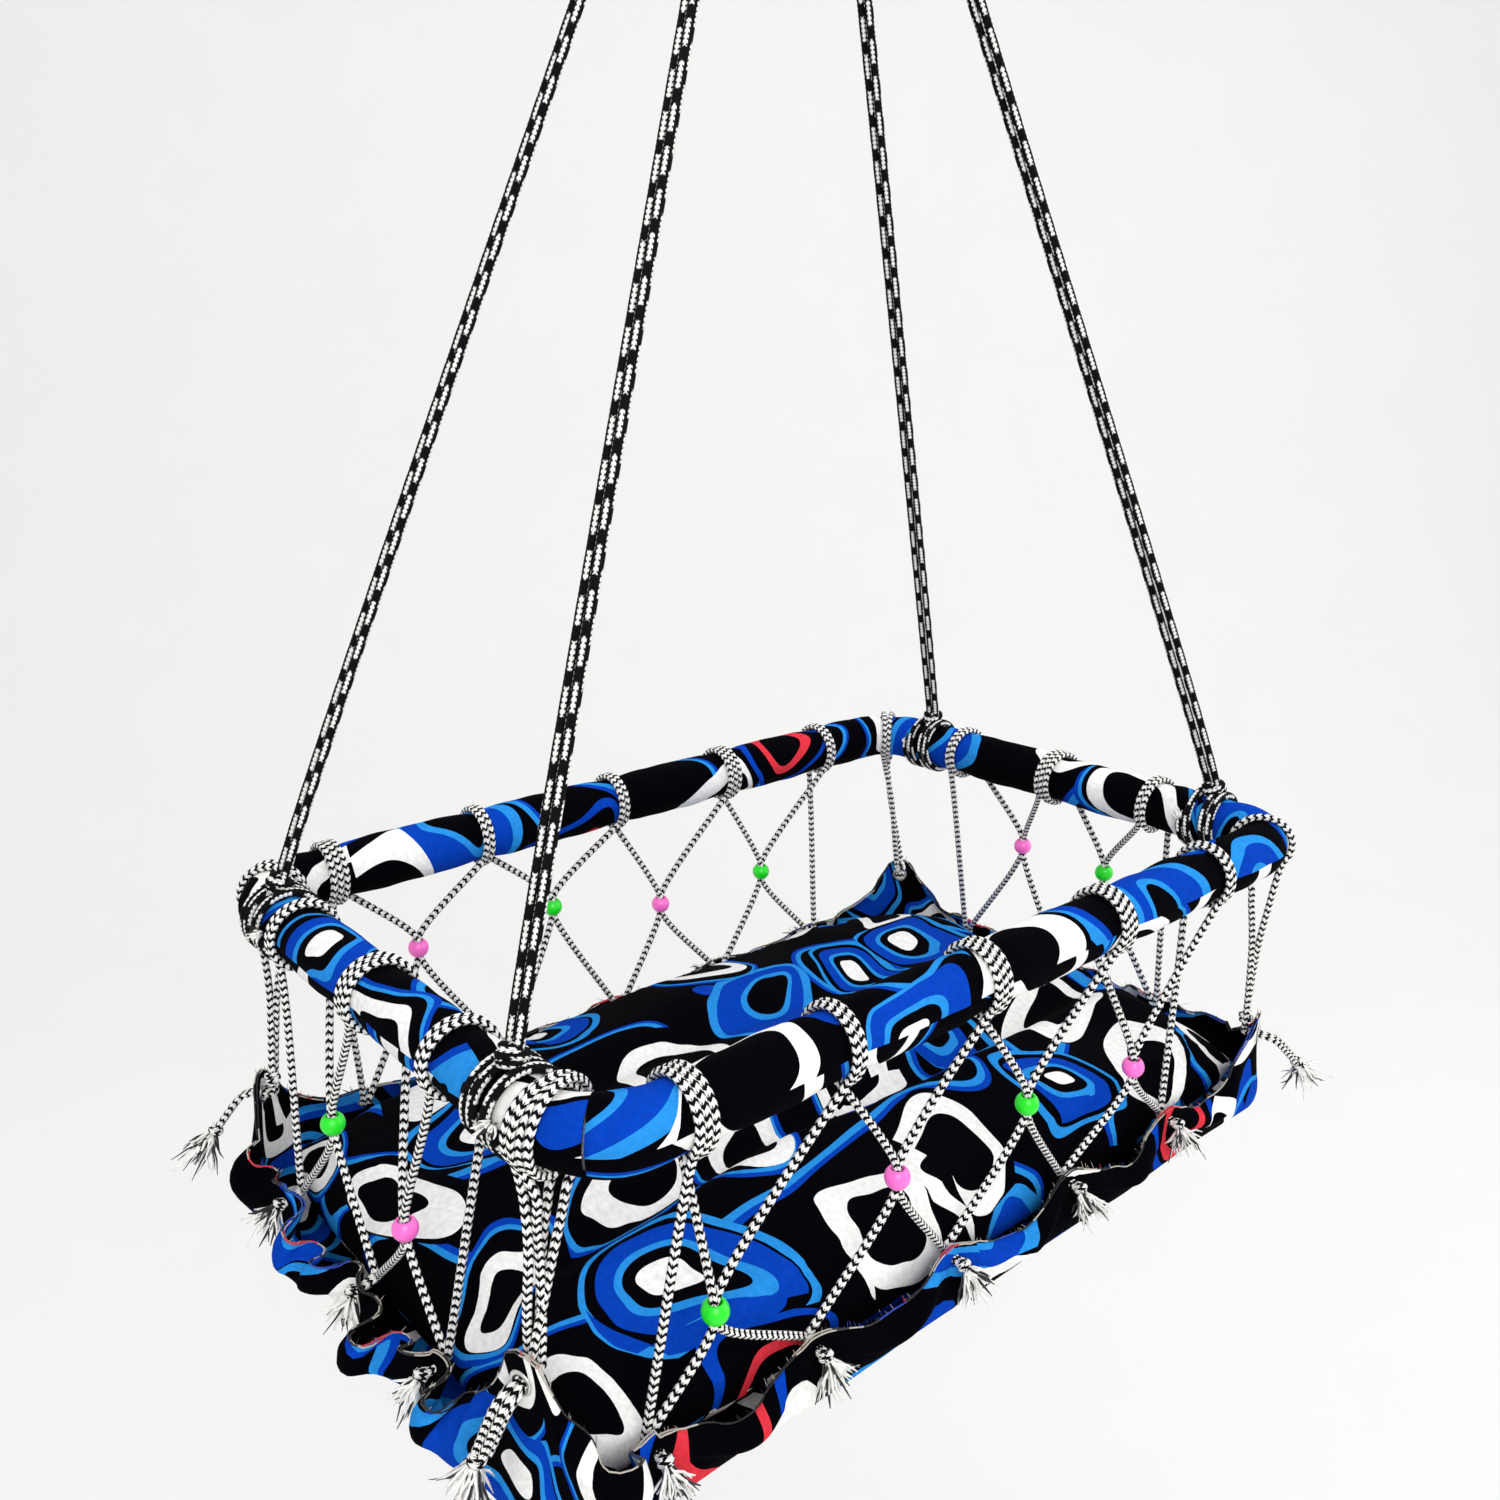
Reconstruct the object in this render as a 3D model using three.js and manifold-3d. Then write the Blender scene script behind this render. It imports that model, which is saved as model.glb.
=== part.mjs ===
// Hanging baby cradle. Millimetres, +Z up, +X to the right end, +Y to the back.
// A padded rectangular hoop hangs by four doubled ropes from a steel ring and an S-hook.
// A cloth bed with a mattress hangs below the hoop on beaded cord nets.
// The origin is the bearing point at the top of the hook's upper bowl.

import * as THREE from 'three';
import { mergeVertices } from 'three/addons/utils/BufferGeometryUtils.js';
import Module from 'manifold-3d';

const wasm = await Module();
wasm.setup();

// Fits
const clearance = 0.3;
const cutOverrun = 4;

// Hoop, measured along the centrelines of its rails
const frameLength = 610;
const frameWidth = 400;
const cornerRadius = 40;
const railDiameter = 36;
const coverThickness = 1.2;
const tubeDiameter = 16;
const tubeWall = 1.5;
const tubePinLength = 80;
const cornerSteps = 4;
const railSides = 12;
const tubeSides = 8;
const foamSides = 8;

// Steel hanging pieces
const steelDiameter = 8;
const hookBowlDiameter = 22;
const hookShank = 16;
const hookTipShare = 0.62;
const ringWidth = 36;
const ringLegLength = 8;
const ringCornerRadius = 6;
const steelSides = 8;
const hookSteps = 4;
const ringArchSteps = 10;
const ringCornerSteps = 2;
const ballSides = 6;
const ballRings = 5;

// Doubled ropes, from the ring's straight bar to the hoop
const suspensionHeight = 813;
const ropeDiameter = 5.8;
const ropeGap = 0.6;
const ropeLoopPitch = 7;
const ropeGatherDrop = 150;
const lashingFromCorner = 58;
const lashingTurns = 1.75;
const ropeKnotHeight = 15;
const ropeKnotWidth = 19;
const ropeSides = 5;
const ropeLoopSteps = 6;

// Cord nets along the four sides
const cordDiameter = 5;
const cordGap = 0.7;
const netDrop = 183;
const wrapLowShare = 0.11;
const windingSteps = 8;
const cordSides = 5;
const beadDiameter = 15;
const beadBore = 7.2;
const beadSides = 8;
const beadSteps = 4;
const cordShift = 0.5;
const beadLead = 1.5;
const tieReach = 8;
const tieRise = 3;
const knotDiameter = 9;
const knotGap = 1.5;
const tasselLength = 30;
const tasselWidth = 12;
const tasselSides = 6;
const knotNeckShare = 0.6;

// Heights of the beads, as shares of the way from the hoop down to the ties
const lowBeadShare = 0.66;
const middleBeadShare = 0.56;
const highBeadShare = 0.41;

// Places along each side as shares of its length, from its left end or its back end.
// A bead's own share is that of the way from one winding to the next.
const netPlaces = {
  front: {
    wrapShares: [0.09, 0.251, 0.437, 0.635, 0.827],
    tieShares: [0.087, 0.253, 0.427, 0.603, 0.778],
    beadShares: [0.3, 0.5, 0.5, 0.5],
    dropShares: [lowBeadShare, middleBeadShare, middleBeadShare, lowBeadShare],
    extraTurns: [2, 1, 2, 2, 1],
  },
  back: {
    wrapShares: [0.09, 0.278, 0.477, 0.664, 0.849],
    tieShares: [0.13, 0.31, 0.473, 0.637, 0.81],
    beadShares: [0.5, 0.5, 0.44, 0.45],
    dropShares: [highBeadShare, highBeadShare, middleBeadShare, middleBeadShare],
    extraTurns: [2, 1, 1, 2, 1],
  },
  left: {
    wrapShares: [0.222, 0.483, 0.717],
    tieShares: [0.2, 0.475, 0.69],
    beadShares: [0.52, 0.52],
    dropShares: [middleBeadShare, lowBeadShare],
    extraTurns: [1, 2, 1],
  },
  right: {
    wrapShares: [0.247, 0.498, 0.736],
    tieShares: [0.24, 0.511, 0.747],
    beadShares: [0.6, 0.46],
    dropShares: [highBeadShare, highBeadShare],
    extraTurns: [1, 2, 1],
  },
};

// Corner cords, from the hoop's corners to the bed's eyelets
const cornerWindingDegrees = 18;
const cornerTurns = 1;
const bundleDiameter = 7;
const bundleGatherDrop = 44;
const bundleTailLength = 46;
const bundleTailOut = 14;
const bundleOut = 9;
const bundleKnotWidth = 11;
const bundleKnotHeight = 15;
const bundleKnotRise = 5;

// Each corner's own places. Both angles are in degrees from the short side.
// An eyelet's height above the ties is a share of their drop.
const corners = [
  { name: 'back_left', signX: -1, signY: 1, strands: 2, windingPlace: 45, tipPlace: 45, eyeletRiseShare: 0.235 },
  { name: 'front_left', signX: -1, signY: -1, strands: 4, windingPlace: 20, tipPlace: 16, eyeletRiseShare: 0.306 },
  { name: 'front_right', signX: 1, signY: -1, strands: 2, windingPlace: 62, tipPlace: 70, eyeletRiseShare: 0.137 },
  { name: 'back_right', signX: 1, signY: 1, strands: 2, windingPlace: 45, tipPlace: 45, eyeletRiseShare: 0.197 },
];

// Bed: a cloth tray drawn up at its ties and corner tips, with a free edge that flops out between them
const bedEndOverhang = 24;
const bedSideOverhang = 1;
const bedCornerRadius = 40;
const clothThickness = 2.4;
const tieBelowEdge = 9;
const edgeDip = 8;
const edgeFlops = { front: 21, back: 14, right: 14, left: 29 };
const edgeRuffles = { front: 0, back: 0, right: 2, left: 5 };
const ridgeBelowTie = 8;
const ridgeRise = 11;
const ridgeOut = 2;
const tipAboveEyelet = 15;
const tipShoulder = 5;
const tipReach = 26;
const tipFlat = 22;
const tipFoot = 14;
const tipRows = 2;
const wallFoot = 22;
const wallBelly = 4;
const floorDepth = 42;
const floorCurve = 8;
const floorCurveWidth = 8;
const floorInset = 30;
const floorMiddleShare = 0.5;
const stationSpacing = 32;

// Eyelets at the tips
const eyeletBore = 8.2;
const eyeletBarrel = 10;
const eyeletFlange = 14;
const eyeletPlate = 0.8;
const eyeletSides = 8;
const holeSides = 6;

// Mattress
const mattressGap = 20;
const mattressEdge = 36;
const mattressRise = 29;
const mattressCrown = 10;
const mattressCornerShare = 0.05;
const mattressCornerPower = 4;
const mattressTopPower = 0.22;
const mattressBottomPower = 0.3;
const mattressBottomFullness = 1.5;
const creaseFromMiddle = 62;
const creaseWidth = 26;
const creaseDepth = 9;
const mattressColumns = 16;
const mattressRows = 14;

// Derived places, from the hoop's own plane
const railRadius = railDiameter / 2;
const steelRadius = steelDiameter / 2;
const ropeRadius = ropeDiameter / 2;
const cordRadius = cordDiameter / 2;
const bowlRadius = hookBowlDiameter / 2 + steelRadius;
const hookLength = 2 * hookBowlDiameter + hookShank;
const ringArchRadius = (ringWidth + steelDiameter) / 2;
const ringTop = -hookLength + clearance + steelRadius;
const ringBarZ = ringTop - ringArchRadius - ringLegLength - ringCornerRadius;
const framePlaneZ = ringBarZ - suspensionHeight;
const ropePitch = ropeDiameter + ropeGap;
const windingRadius = (thickness) =>
  (railRadius + clearance + thickness / 2) / Math.cos(Math.PI / windingSteps);
const bedLength = frameLength + 2 * bedEndOverhang;
const bedWidth = frameWidth + 2 * bedSideOverhang;
const edgeZ = -netDrop + tieBelowEdge;
const floorZ = -netDrop - floorDepth;
const holeRadius = (cordRadius + cordShift + clearance) / Math.cos(Math.PI / holeSides);
const eyeletHoleRadius = (eyeletBarrel / 2 + clearance) / Math.cos(Math.PI / holeSides);

// Colours
const colours = {
  steel: { color: 0xb9bcc0, roughness: 0.3, metalness: 1 },
  rope: { color: 0x2b2b2d, roughness: 0.9, metalness: 0 },
  cord: { color: 0xdad7cf, roughness: 0.9, metalness: 0 },
  print: { color: 0x1c4fb4, roughness: 0.95, metalness: 0 },
  bedPrint: { color: 0x17306f, roughness: 0.95, metalness: 0 },
  lining: { color: 0x101218, roughness: 0.95, metalness: 0 },
  foam: { color: 0x8f9499, roughness: 0.95, metalness: 0 },
  tube: { color: 0x9a9da1, roughness: 0.45, metalness: 1 },
  green: { color: 0x18dd1c, roughness: 0.4, metalness: 0 },
  pink: { color: 0xff6fd0, roughness: 0.4, metalness: 0 },
};

const cradle = new THREE.Group();
cradle.name = 'hanging_baby_cradle';
const frame = new THREE.Group();
frame.position.z = framePlaneZ;
cradle.add(frame);

function addPiece(group, name, geometry, look) {
  const mesh = new THREE.Mesh(geometry, new THREE.MeshStandardMaterial(look));
  mesh.name = name;
  group.add(mesh);
  return mesh;
}

// Solids for joining and cutting
function toSolid(geometry) {
  const bare = geometry.clone();
  bare.deleteAttribute('normal');
  bare.deleteAttribute('uv');
  const merged = mergeVertices(bare);
  return new wasm.Manifold(new wasm.Mesh({
    numProp: 3,
    vertProperties: merged.attributes.position.array,
    triVerts: Uint32Array.from(merged.index.array),
  }));
}

function toGeometry(solid) {
  const { vertProperties, triVerts } = solid.getMesh();
  const geometry = new THREE.BufferGeometry();
  geometry.setAttribute('position', new THREE.BufferAttribute(vertProperties, 3));
  geometry.setIndex(new THREE.BufferAttribute(triVerts, 1));
  geometry.computeVertexNormals();
  return geometry;
}

function join(geometries) {
  return geometries.map(toSolid).reduce((whole, solid) => whole.add(solid));
}

// A route through given points: one sweep step from each point to the next.
// Its ends are cut square to the directions given for them, or else to its first and last steps.
class Route extends THREE.Curve {
  constructor(points, endDirections = []) {
    super();
    this.points = points;
    this.endDirections = endDirections;
  }

  getPointAt(share, target = new THREE.Vector3()) {
    const place = share * (this.points.length - 1);
    const first = Math.min(Math.floor(place), this.points.length - 2);
    return target.lerpVectors(this.points[first], this.points[first + 1], place - first);
  }

  getTangentAt(share, target = new THREE.Vector3()) {
    const last = this.points.length - 1;
    const index = Math.round(share * last);
    if (this.endDirections.length > 0 && (index === 0 || index === last)) {
      return target.copy(this.endDirections[index === 0 ? 0 : 1]);
    }
    const before = this.points[Math.max(index - 1, 0)];
    const here = this.points[index];
    const after = this.points[Math.min(index + 1, last)];
    const arriving = here.clone().sub(before).normalize();
    return target.copy(after).sub(here).normalize().add(arriving).normalize();
  }
}

function ring(radius, sides) {
  return Array.from({ length: sides }, (_, i) => {
    const angle = (2 * Math.PI * i) / sides;
    return new THREE.Vector2(radius * Math.cos(angle), radius * Math.sin(angle));
  });
}

function sweep(points, radius, sides, boreRadius = 0, endDirections = []) {
  const section = new THREE.Shape(ring(radius, sides));
  if (boreRadius > 0) section.holes.push(new THREE.Path(ring(boreRadius, sides)));
  return new THREE.ExtrudeGeometry(section, {
    steps: points.length - 1,
    extrudePath: new Route(points, endDirections),
    bevelEnabled: false,
  });
}

function ball(width, height, centre) {
  const geometry = new THREE.SphereGeometry(width / 2, ballSides, ballRings);
  geometry.rotateX(Math.PI / 2);
  geometry.scale(1, 1, height / width);
  geometry.translate(centre.x, centre.y, centre.z);
  return geometry;
}

// A knot with a frayed end that hangs straight down
function tiedEnd(centre, width) {
  const wide = width / 2;
  const part = wide * Math.SQRT1_2;
  const profile = [[0, -tasselLength], [tasselWidth / 2, -tasselLength], [wide / 2, -width * knotNeckShare],
    [wide, 0], [part, part], [0, wide]].map(([r, z]) => new THREE.Vector2(r, z));
  const geometry = new THREE.LatheGeometry(profile, tasselSides);
  geometry.rotateX(Math.PI / 2);
  geometry.translate(centre.x, centre.y, centre.z);
  return geometry;
}

// Prints the least gap between stretches of one tube that lie apart along its route
function tellLeastGap(name, points, thickness) {
  const spaced = [];
  for (let i = 0; i < points.length - 1; i += 1) {
    const parts = Math.max(1, Math.ceil(points[i].distanceTo(points[i + 1]) / thickness));
    for (let k = 0; k < parts; k += 1) spaced.push(points[i].clone().lerp(points[i + 1], k / parts));
  }
  const along = [0];
  for (let i = 1; i < spaced.length; i += 1) along.push(along[i - 1] + spaced[i].distanceTo(spaced[i - 1]));
  let least = Infinity;
  for (let i = 0; i < spaced.length - 1; i += 1) {
    for (let j = i + 1; j < spaced.length - 1; j += 1) {
      if (along[j] - along[i] < 4 * thickness) continue;
      const stretch = new THREE.Line3(spaced[j], spaced[j + 1]);
      const nearest = stretch.closestPointToPoint(spaced[i], true, new THREE.Vector3());
      least = Math.min(least, nearest.distanceTo(spaced[i]) - thickness);
    }
  }
  console.log(`${name}: least gap to itself ${least.toFixed(2)} mm`);
}

// Hook: an S in the YZ plane that bears at the origin and holds the ring in its lower bowl
function hookRoute() {
  const spread = hookLength - hookBowlDiameter;
  const lean = Math.asin((2 * bowlRadius) / spread);
  const tipAngle = Math.PI * hookTipShare;
  const points = [];
  for (let i = -hookSteps; i <= hookSteps; i += 1) {
    const angle = Math.PI / 2 - ((i < 0 ? tipAngle : Math.PI / 2 + lean) * i) / hookSteps;
    points.push(new THREE.Vector3(0, bowlRadius * Math.cos(angle),
      bowlRadius * Math.sin(angle) - hookBowlDiameter / 2));
  }
  const middle = new THREE.Vector3(0, 0, -hookLength / 2);
  const lower = points.map((p) => middle.clone().multiplyScalar(2).sub(p)).reverse();
  return [...points, ...lower];
}

// Ring: an arch over a straight bar, in the XZ plane
function ringSolid() {
  const halfBar = ringArchRadius - ringCornerRadius;
  const archZ = ringTop - ringArchRadius;
  const cornerZ = ringBarZ + ringCornerRadius;
  const points = [];
  const arc = (x, z, radius, from, to, steps) => {
    for (let i = 0; i <= steps; i += 1) {
      const angle = from + ((to - from) * i) / steps;
      points.push(new THREE.Vector3(x + radius * Math.cos(angle), 0, z + radius * Math.sin(angle)));
    }
  };
  arc(0, archZ, ringArchRadius, 0, Math.PI, ringArchSteps);
  arc(-halfBar, cornerZ, ringCornerRadius, Math.PI, 1.5 * Math.PI, ringCornerSteps);
  arc(halfBar, cornerZ, ringCornerRadius, 1.5 * Math.PI, 2 * Math.PI, ringCornerSteps);
  const half = Math.floor(points.length / 2);
  const first = sweep(points.slice(0, half + 1), steelRadius, steelSides);
  const second = sweep([...points.slice(half), points[0].clone()], steelRadius, steelSides);
  const seams = [points[0], points[half]].map((p) => ball(steelDiameter, steelDiameter, p));
  return toGeometry(join([first, second, ...seams]));
}

addPiece(cradle, 'hanging_hook', sweep(hookRoute(), steelRadius, steelSides), colours.steel);
addPiece(cradle, 'hanging_ring', ringSolid(), colours.steel);

// Hoop: half routes round the rectangle, from one place on a rail to another
function cornerArc(signX, signY, from, to, steps) {
  const centreX = frameLength / 2 - cornerRadius;
  const centreY = frameWidth / 2 - cornerRadius;
  return Array.from({ length: steps + 1 }, (_, i) => {
    const angle = from + ((to - from) * i) / steps;
    return new THREE.Vector3(signX * (centreX + cornerRadius * Math.cos(angle)),
      signY * (centreY + cornerRadius * Math.sin(angle)), 0);
  });
}

const seamAngle = clearance / cornerRadius;
const beforeSeam = Math.PI / 4 - seamAngle / 2;
const afterSeam = Math.PI / 4 + seamAngle / 2;
const longRailRoute = [...cornerArc(-1, -1, afterSeam, Math.PI / 2, cornerSteps / 2),
  ...cornerArc(1, -1, Math.PI / 2, afterSeam, cornerSteps / 2)];
const longRailEnds = [new THREE.Vector3(1, -1, 0).normalize(), new THREE.Vector3(1, 1, 0).normalize()];
const shortRailRoute = [...cornerArc(1, -1, beforeSeam, 0, cornerSteps / 2),
  ...cornerArc(1, 1, 0, beforeSeam, cornerSteps / 2)];
const shortRailEnds = [new THREE.Vector3(1, 1, 0).normalize(), new THREE.Vector3(-1, 1, 0).normalize()];
const halfHoopRoute = [new THREE.Vector3(clearance / 2, -frameWidth / 2, 0),
  ...cornerArc(1, -1, Math.PI / 2, 0, cornerSteps), ...cornerArc(1, 1, 0, Math.PI / 2, cornerSteps),
  new THREE.Vector3(clearance / 2, frameWidth / 2, 0)];

const coverInner = railRadius - coverThickness;
const foamOuter = coverInner * Math.cos(Math.PI / railSides) - clearance;
const foamInner = (tubeDiameter / 2 + clearance) / Math.cos(Math.PI / foamSides);
const tubeBore = tubeDiameter / 2 - tubeWall;
const tubePinRadius = tubeBore * Math.cos(Math.PI / tubeSides) - clearance;
const halfTurns = { front: 0, back: Math.PI, right: 0, left: Math.PI };

for (const side of ['front', 'back', 'right', 'left']) {
  const long = side === 'front' || side === 'back';
  const route = long ? longRailRoute : shortRailRoute;
  const ends = long ? longRailEnds : shortRailEnds;
  const cover = addPiece(frame, `rail_cover_${side}`, sweep(route, railRadius, railSides, coverInner, ends),
    colours.print);
  const foam = addPiece(frame, `rail_foam_${side}`, sweep(route, foamOuter, foamSides, foamInner, ends),
    colours.foam);
  cover.rotation.z = halfTurns[side];
  foam.rotation.z = halfTurns[side];
}
for (const side of ['right', 'left']) {
  const walled = sweep(halfHoopRoute, tubeDiameter / 2, tubeSides, tubeBore);
  const tube = addPiece(frame, `hoop_tube_${side}`, walled, colours.tube);
  tube.rotation.z = halfTurns[side];
}
for (const side of ['front', 'back']) {
  const ends = [-tubePinLength / 2, tubePinLength / 2].map((x) => new THREE.Vector3(x, 0, 0));
  const pin = addPiece(frame, `tube_pin_${side}`, sweep(ends, tubePinRadius, tubeSides), colours.tube);
  pin.position.y = side === 'front' ? -frameWidth / 2 : frameWidth / 2;
}

// Turns round a rail along X whose outer side faces -Y. Angles start at the outer side and rise over the top.
function winding(centreX, radius, pitch, from, to) {
  const steps = Math.round((Math.abs(to - from) / (2 * Math.PI)) * windingSteps);
  return Array.from({ length: steps + 1 }, (_, i) => {
    const angle = from + ((to - from) * i) / steps;
    const advance = (pitch * (angle - (from + to) / 2)) / (2 * Math.PI);
    return new THREE.Vector3(centreX + advance, -radius * Math.cos(angle), radius * Math.sin(angle));
  });
}

// Ropes: up from the lashing, over the ring's bar and back down, in one length
function rope(signX, signY, loopX) {
  const lashingY = frameWidth / 2 - lashingFromCorner;
  const lashing = new THREE.Vector3((signX * frameLength) / 2, signY * lashingY, 0);
  const turnRadius = windingRadius(ropeDiameter);
  const knotCentre = lashing.clone().setZ(railRadius + clearance + ropeKnotHeight / 2);
  const bar = new THREE.Vector3(loopX, 0, suspensionHeight);
  const loopRadius = (steelRadius + clearance + ropeRadius) / Math.cos(Math.PI / (2 * ropeLoopSteps));
  const strand = (side) => {
    const turns = Array.from({ length: Math.round(lashingTurns * windingSteps) + 1 }, (_, i) => {
      const angle = (side * 2 * Math.PI * i) / windingSteps;
      const advance = side * (ropePitch / 2 + (ropePitch * i) / windingSteps);
      return new THREE.Vector3(lashing.x + signX * turnRadius * Math.sin(angle), lashing.y + advance,
        turnRadius * Math.cos(angle));
    });
    const aboveKnot = knotCentre.clone().lerp(bar, ropeKnotHeight / 2 / suspensionHeight);
    const gather = knotCentre.clone().lerp(bar, 1 - ropeGatherDrop / suspensionHeight);
    const apart = new THREE.Vector3(0, (side * ropePitch) / 2, 0);
    return [...turns.reverse(), aboveKnot.add(apart), gather.add(apart)];
  };
  const loop = Array.from({ length: ropeLoopSteps + 1 }, (_, i) => {
    const angle = (Math.PI * i) / ropeLoopSteps;
    return bar.clone().addScaledVector(new THREE.Vector3(0, -Math.cos(angle), Math.sin(angle)), loopRadius);
  });
  const route = [...strand(-1), ...loop, ...strand(1).reverse()];
  const knot = ball(ropeKnotWidth, ropeKnotHeight, knotCentre);
  return { route, solid: toGeometry(join([sweep(route, ropeRadius, ropeSides), knot])) };
}

corners.forEach(({ name, signX, signY }, index) => {
  const { route, solid } = rope(signX, signY, (index - (corners.length - 1) / 2) * ropeLoopPitch);
  tellLeastGap(`rope_${name}`, route, ropeDiameter);
  addPiece(frame, `rope_${name}`, solid, colours.rope);
});

// Nets: each cord climbs from a tie through a bead, winds round the rail and goes down to another tie.
// Places along the back and the right run the other way in the net's own frame.
function netLayout(side) {
  const long = side === 'front' || side === 'back';
  const mirrored = side === 'back' || side === 'right';
  const listed = netPlaces[side];
  const inOrder = (values) => (mirrored ? [...values].reverse() : values);
  const asPlaces = (shares) => inOrder(shares.map((share) => (mirrored ? 1 - share : share)));
  const railSpan = long ? frameLength : frameWidth;
  const bedSpan = long ? bedLength : bedWidth;
  const overhang = long ? bedSideOverhang : bedEndOverhang;
  const wraps = asPlaces(listed.wrapShares).map((share) => (share - 0.5) * railSpan);
  const holes = asPlaces(listed.tieShares).map((share) =>
    new THREE.Vector3((share - 0.5) * bedSpan, -overhang, -netDrop));
  const dropShares = inOrder(listed.dropShares);
  const beads = asPlaces(listed.beadShares).map((share, i) => {
    const above = new THREE.Vector3(THREE.MathUtils.lerp(wraps[i], wraps[i + 1], share), 0, 0);
    return above.lerp(holes[i].clone().lerp(holes[i + 1], share), dropShares[i]);
  });
  return { wraps, holes, beads, extraTurns: inOrder(listed.extraTurns) };
}

const sideTurns = { front: 0, right: Math.PI / 2, back: Math.PI, left: -Math.PI / 2 };
const railDistance = {
  front: frameWidth / 2,
  back: frameWidth / 2,
  left: frameLength / 2,
  right: frameLength / 2,
};

function netCord({ wraps, holes, beads, extraTurns }, index) {
  const turnRadius = windingRadius(cordDiameter);
  const low = wrapLowShare * 2 * Math.PI;
  const turns = winding(wraps[index], turnRadius, cordDiameter + cordGap, -low,
    Math.PI + low + extraTurns[index] * 2 * Math.PI);
  const lead = (direction) => {
    const bead = direction < 0 ? beads[index - 1] : beads[index];
    const hole = holes[bead ? index + direction : index];
    const points = [];
    if (bead) {
      const half = beadDiameter / 2 + beadLead;
      points.push(new THREE.Vector3(bead.x - direction * cordShift, bead.y, bead.z + half));
      points.push(new THREE.Vector3(bead.x + direction * cordShift, bead.y, bead.z - half));
    }
    const aside = bead ? -direction * cordShift : direction * cordShift;
    points.push(new THREE.Vector3(hole.x + aside, hole.y + tieReach, hole.z + tieRise));
    if (direction < 0 && bead && index !== 1) return points;
    points.push(new THREE.Vector3(hole.x + aside, hole.y, hole.z));
    points.push(new THREE.Vector3(hole.x + aside, hole.y - tieReach, hole.z));
    return points;
  };
  return [...lead(-1).reverse(), ...turns, ...lead(1)];
}

function net(layout) {
  const routes = layout.wraps.map((_, index) => netCord(layout, index));
  const pieces = routes.map((route) => sweep(route, cordRadius, cordSides));
  const knotOut = clothThickness / 2 + knotGap + knotDiameter / 2;
  for (const hole of layout.holes) {
    const knot = new THREE.Vector3(hole.x, hole.y - knotOut, hole.z);
    pieces.push(tiedEnd(knot, knotDiameter));
  }
  return { routes, solid: toGeometry(join(pieces)) };
}

// Beads
function beadGeometry() {
  const bore = beadBore / 2;
  const radius = beadDiameter / 2;
  const edge = Math.acos(bore / radius);
  const profile = Array.from({ length: beadSteps + 1 }, (_, i) => {
    const angle = -edge + (2 * edge * i) / beadSteps;
    return new THREE.Vector2(radius * Math.cos(angle), radius * Math.sin(angle));
  });
  const geometry = new THREE.LatheGeometry([...profile, profile[0].clone()], beadSides);
  geometry.rotateX(Math.PI / 2);
  return geometry;
}

const beadColours = {
  front: ['green', 'pink', 'green', 'pink'],
  back: ['green', 'pink', 'green', 'pink'],
  left: ['green', 'pink'],
  right: ['green', 'pink'],
};
const layouts = {};
for (const side of ['front', 'back', 'left', 'right']) {
  const group = new THREE.Group();
  group.rotation.z = sideTurns[side];
  group.position.set(0, -railDistance[side], 0).applyAxisAngle(new THREE.Vector3(0, 0, 1), sideTurns[side]);
  frame.add(group);
  const layout = netLayout(side);
  layouts[side] = layout;
  const { routes, solid } = net(layout);
  routes.forEach((route, i) => tellLeastGap(`net_${side} cord ${i + 1}`, route, cordDiameter));
  addPiece(group, `net_${side}`, solid, colours.cord);
  layout.beads.forEach((place, i) => {
    const bead = addPiece(group, `bead_${side}_${i + 1}`, beadGeometry(), colours[beadColours[side][i]]);
    bead.position.copy(place);
  });
}

// A direction in the plan, turned from the end of a short side towards the long side
function planDirection(degrees) {
  const angle = THREE.MathUtils.degToRad(degrees);
  return new THREE.Vector3(Math.cos(angle), Math.sin(angle), 0);
}

// The eyelet's middle and the way it faces, for a corner with both signs positive
function eyeletPlace({ tipPlace, eyeletRiseShare }) {
  const facing = planDirection(tipPlace);
  const centre = new THREE.Vector3(bedLength / 2 - bedCornerRadius, bedWidth / 2 - bedCornerRadius,
    netDrop * (eyeletRiseShare - 1)).addScaledVector(facing, bedCornerRadius);
  return { centre, facing };
}

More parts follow.
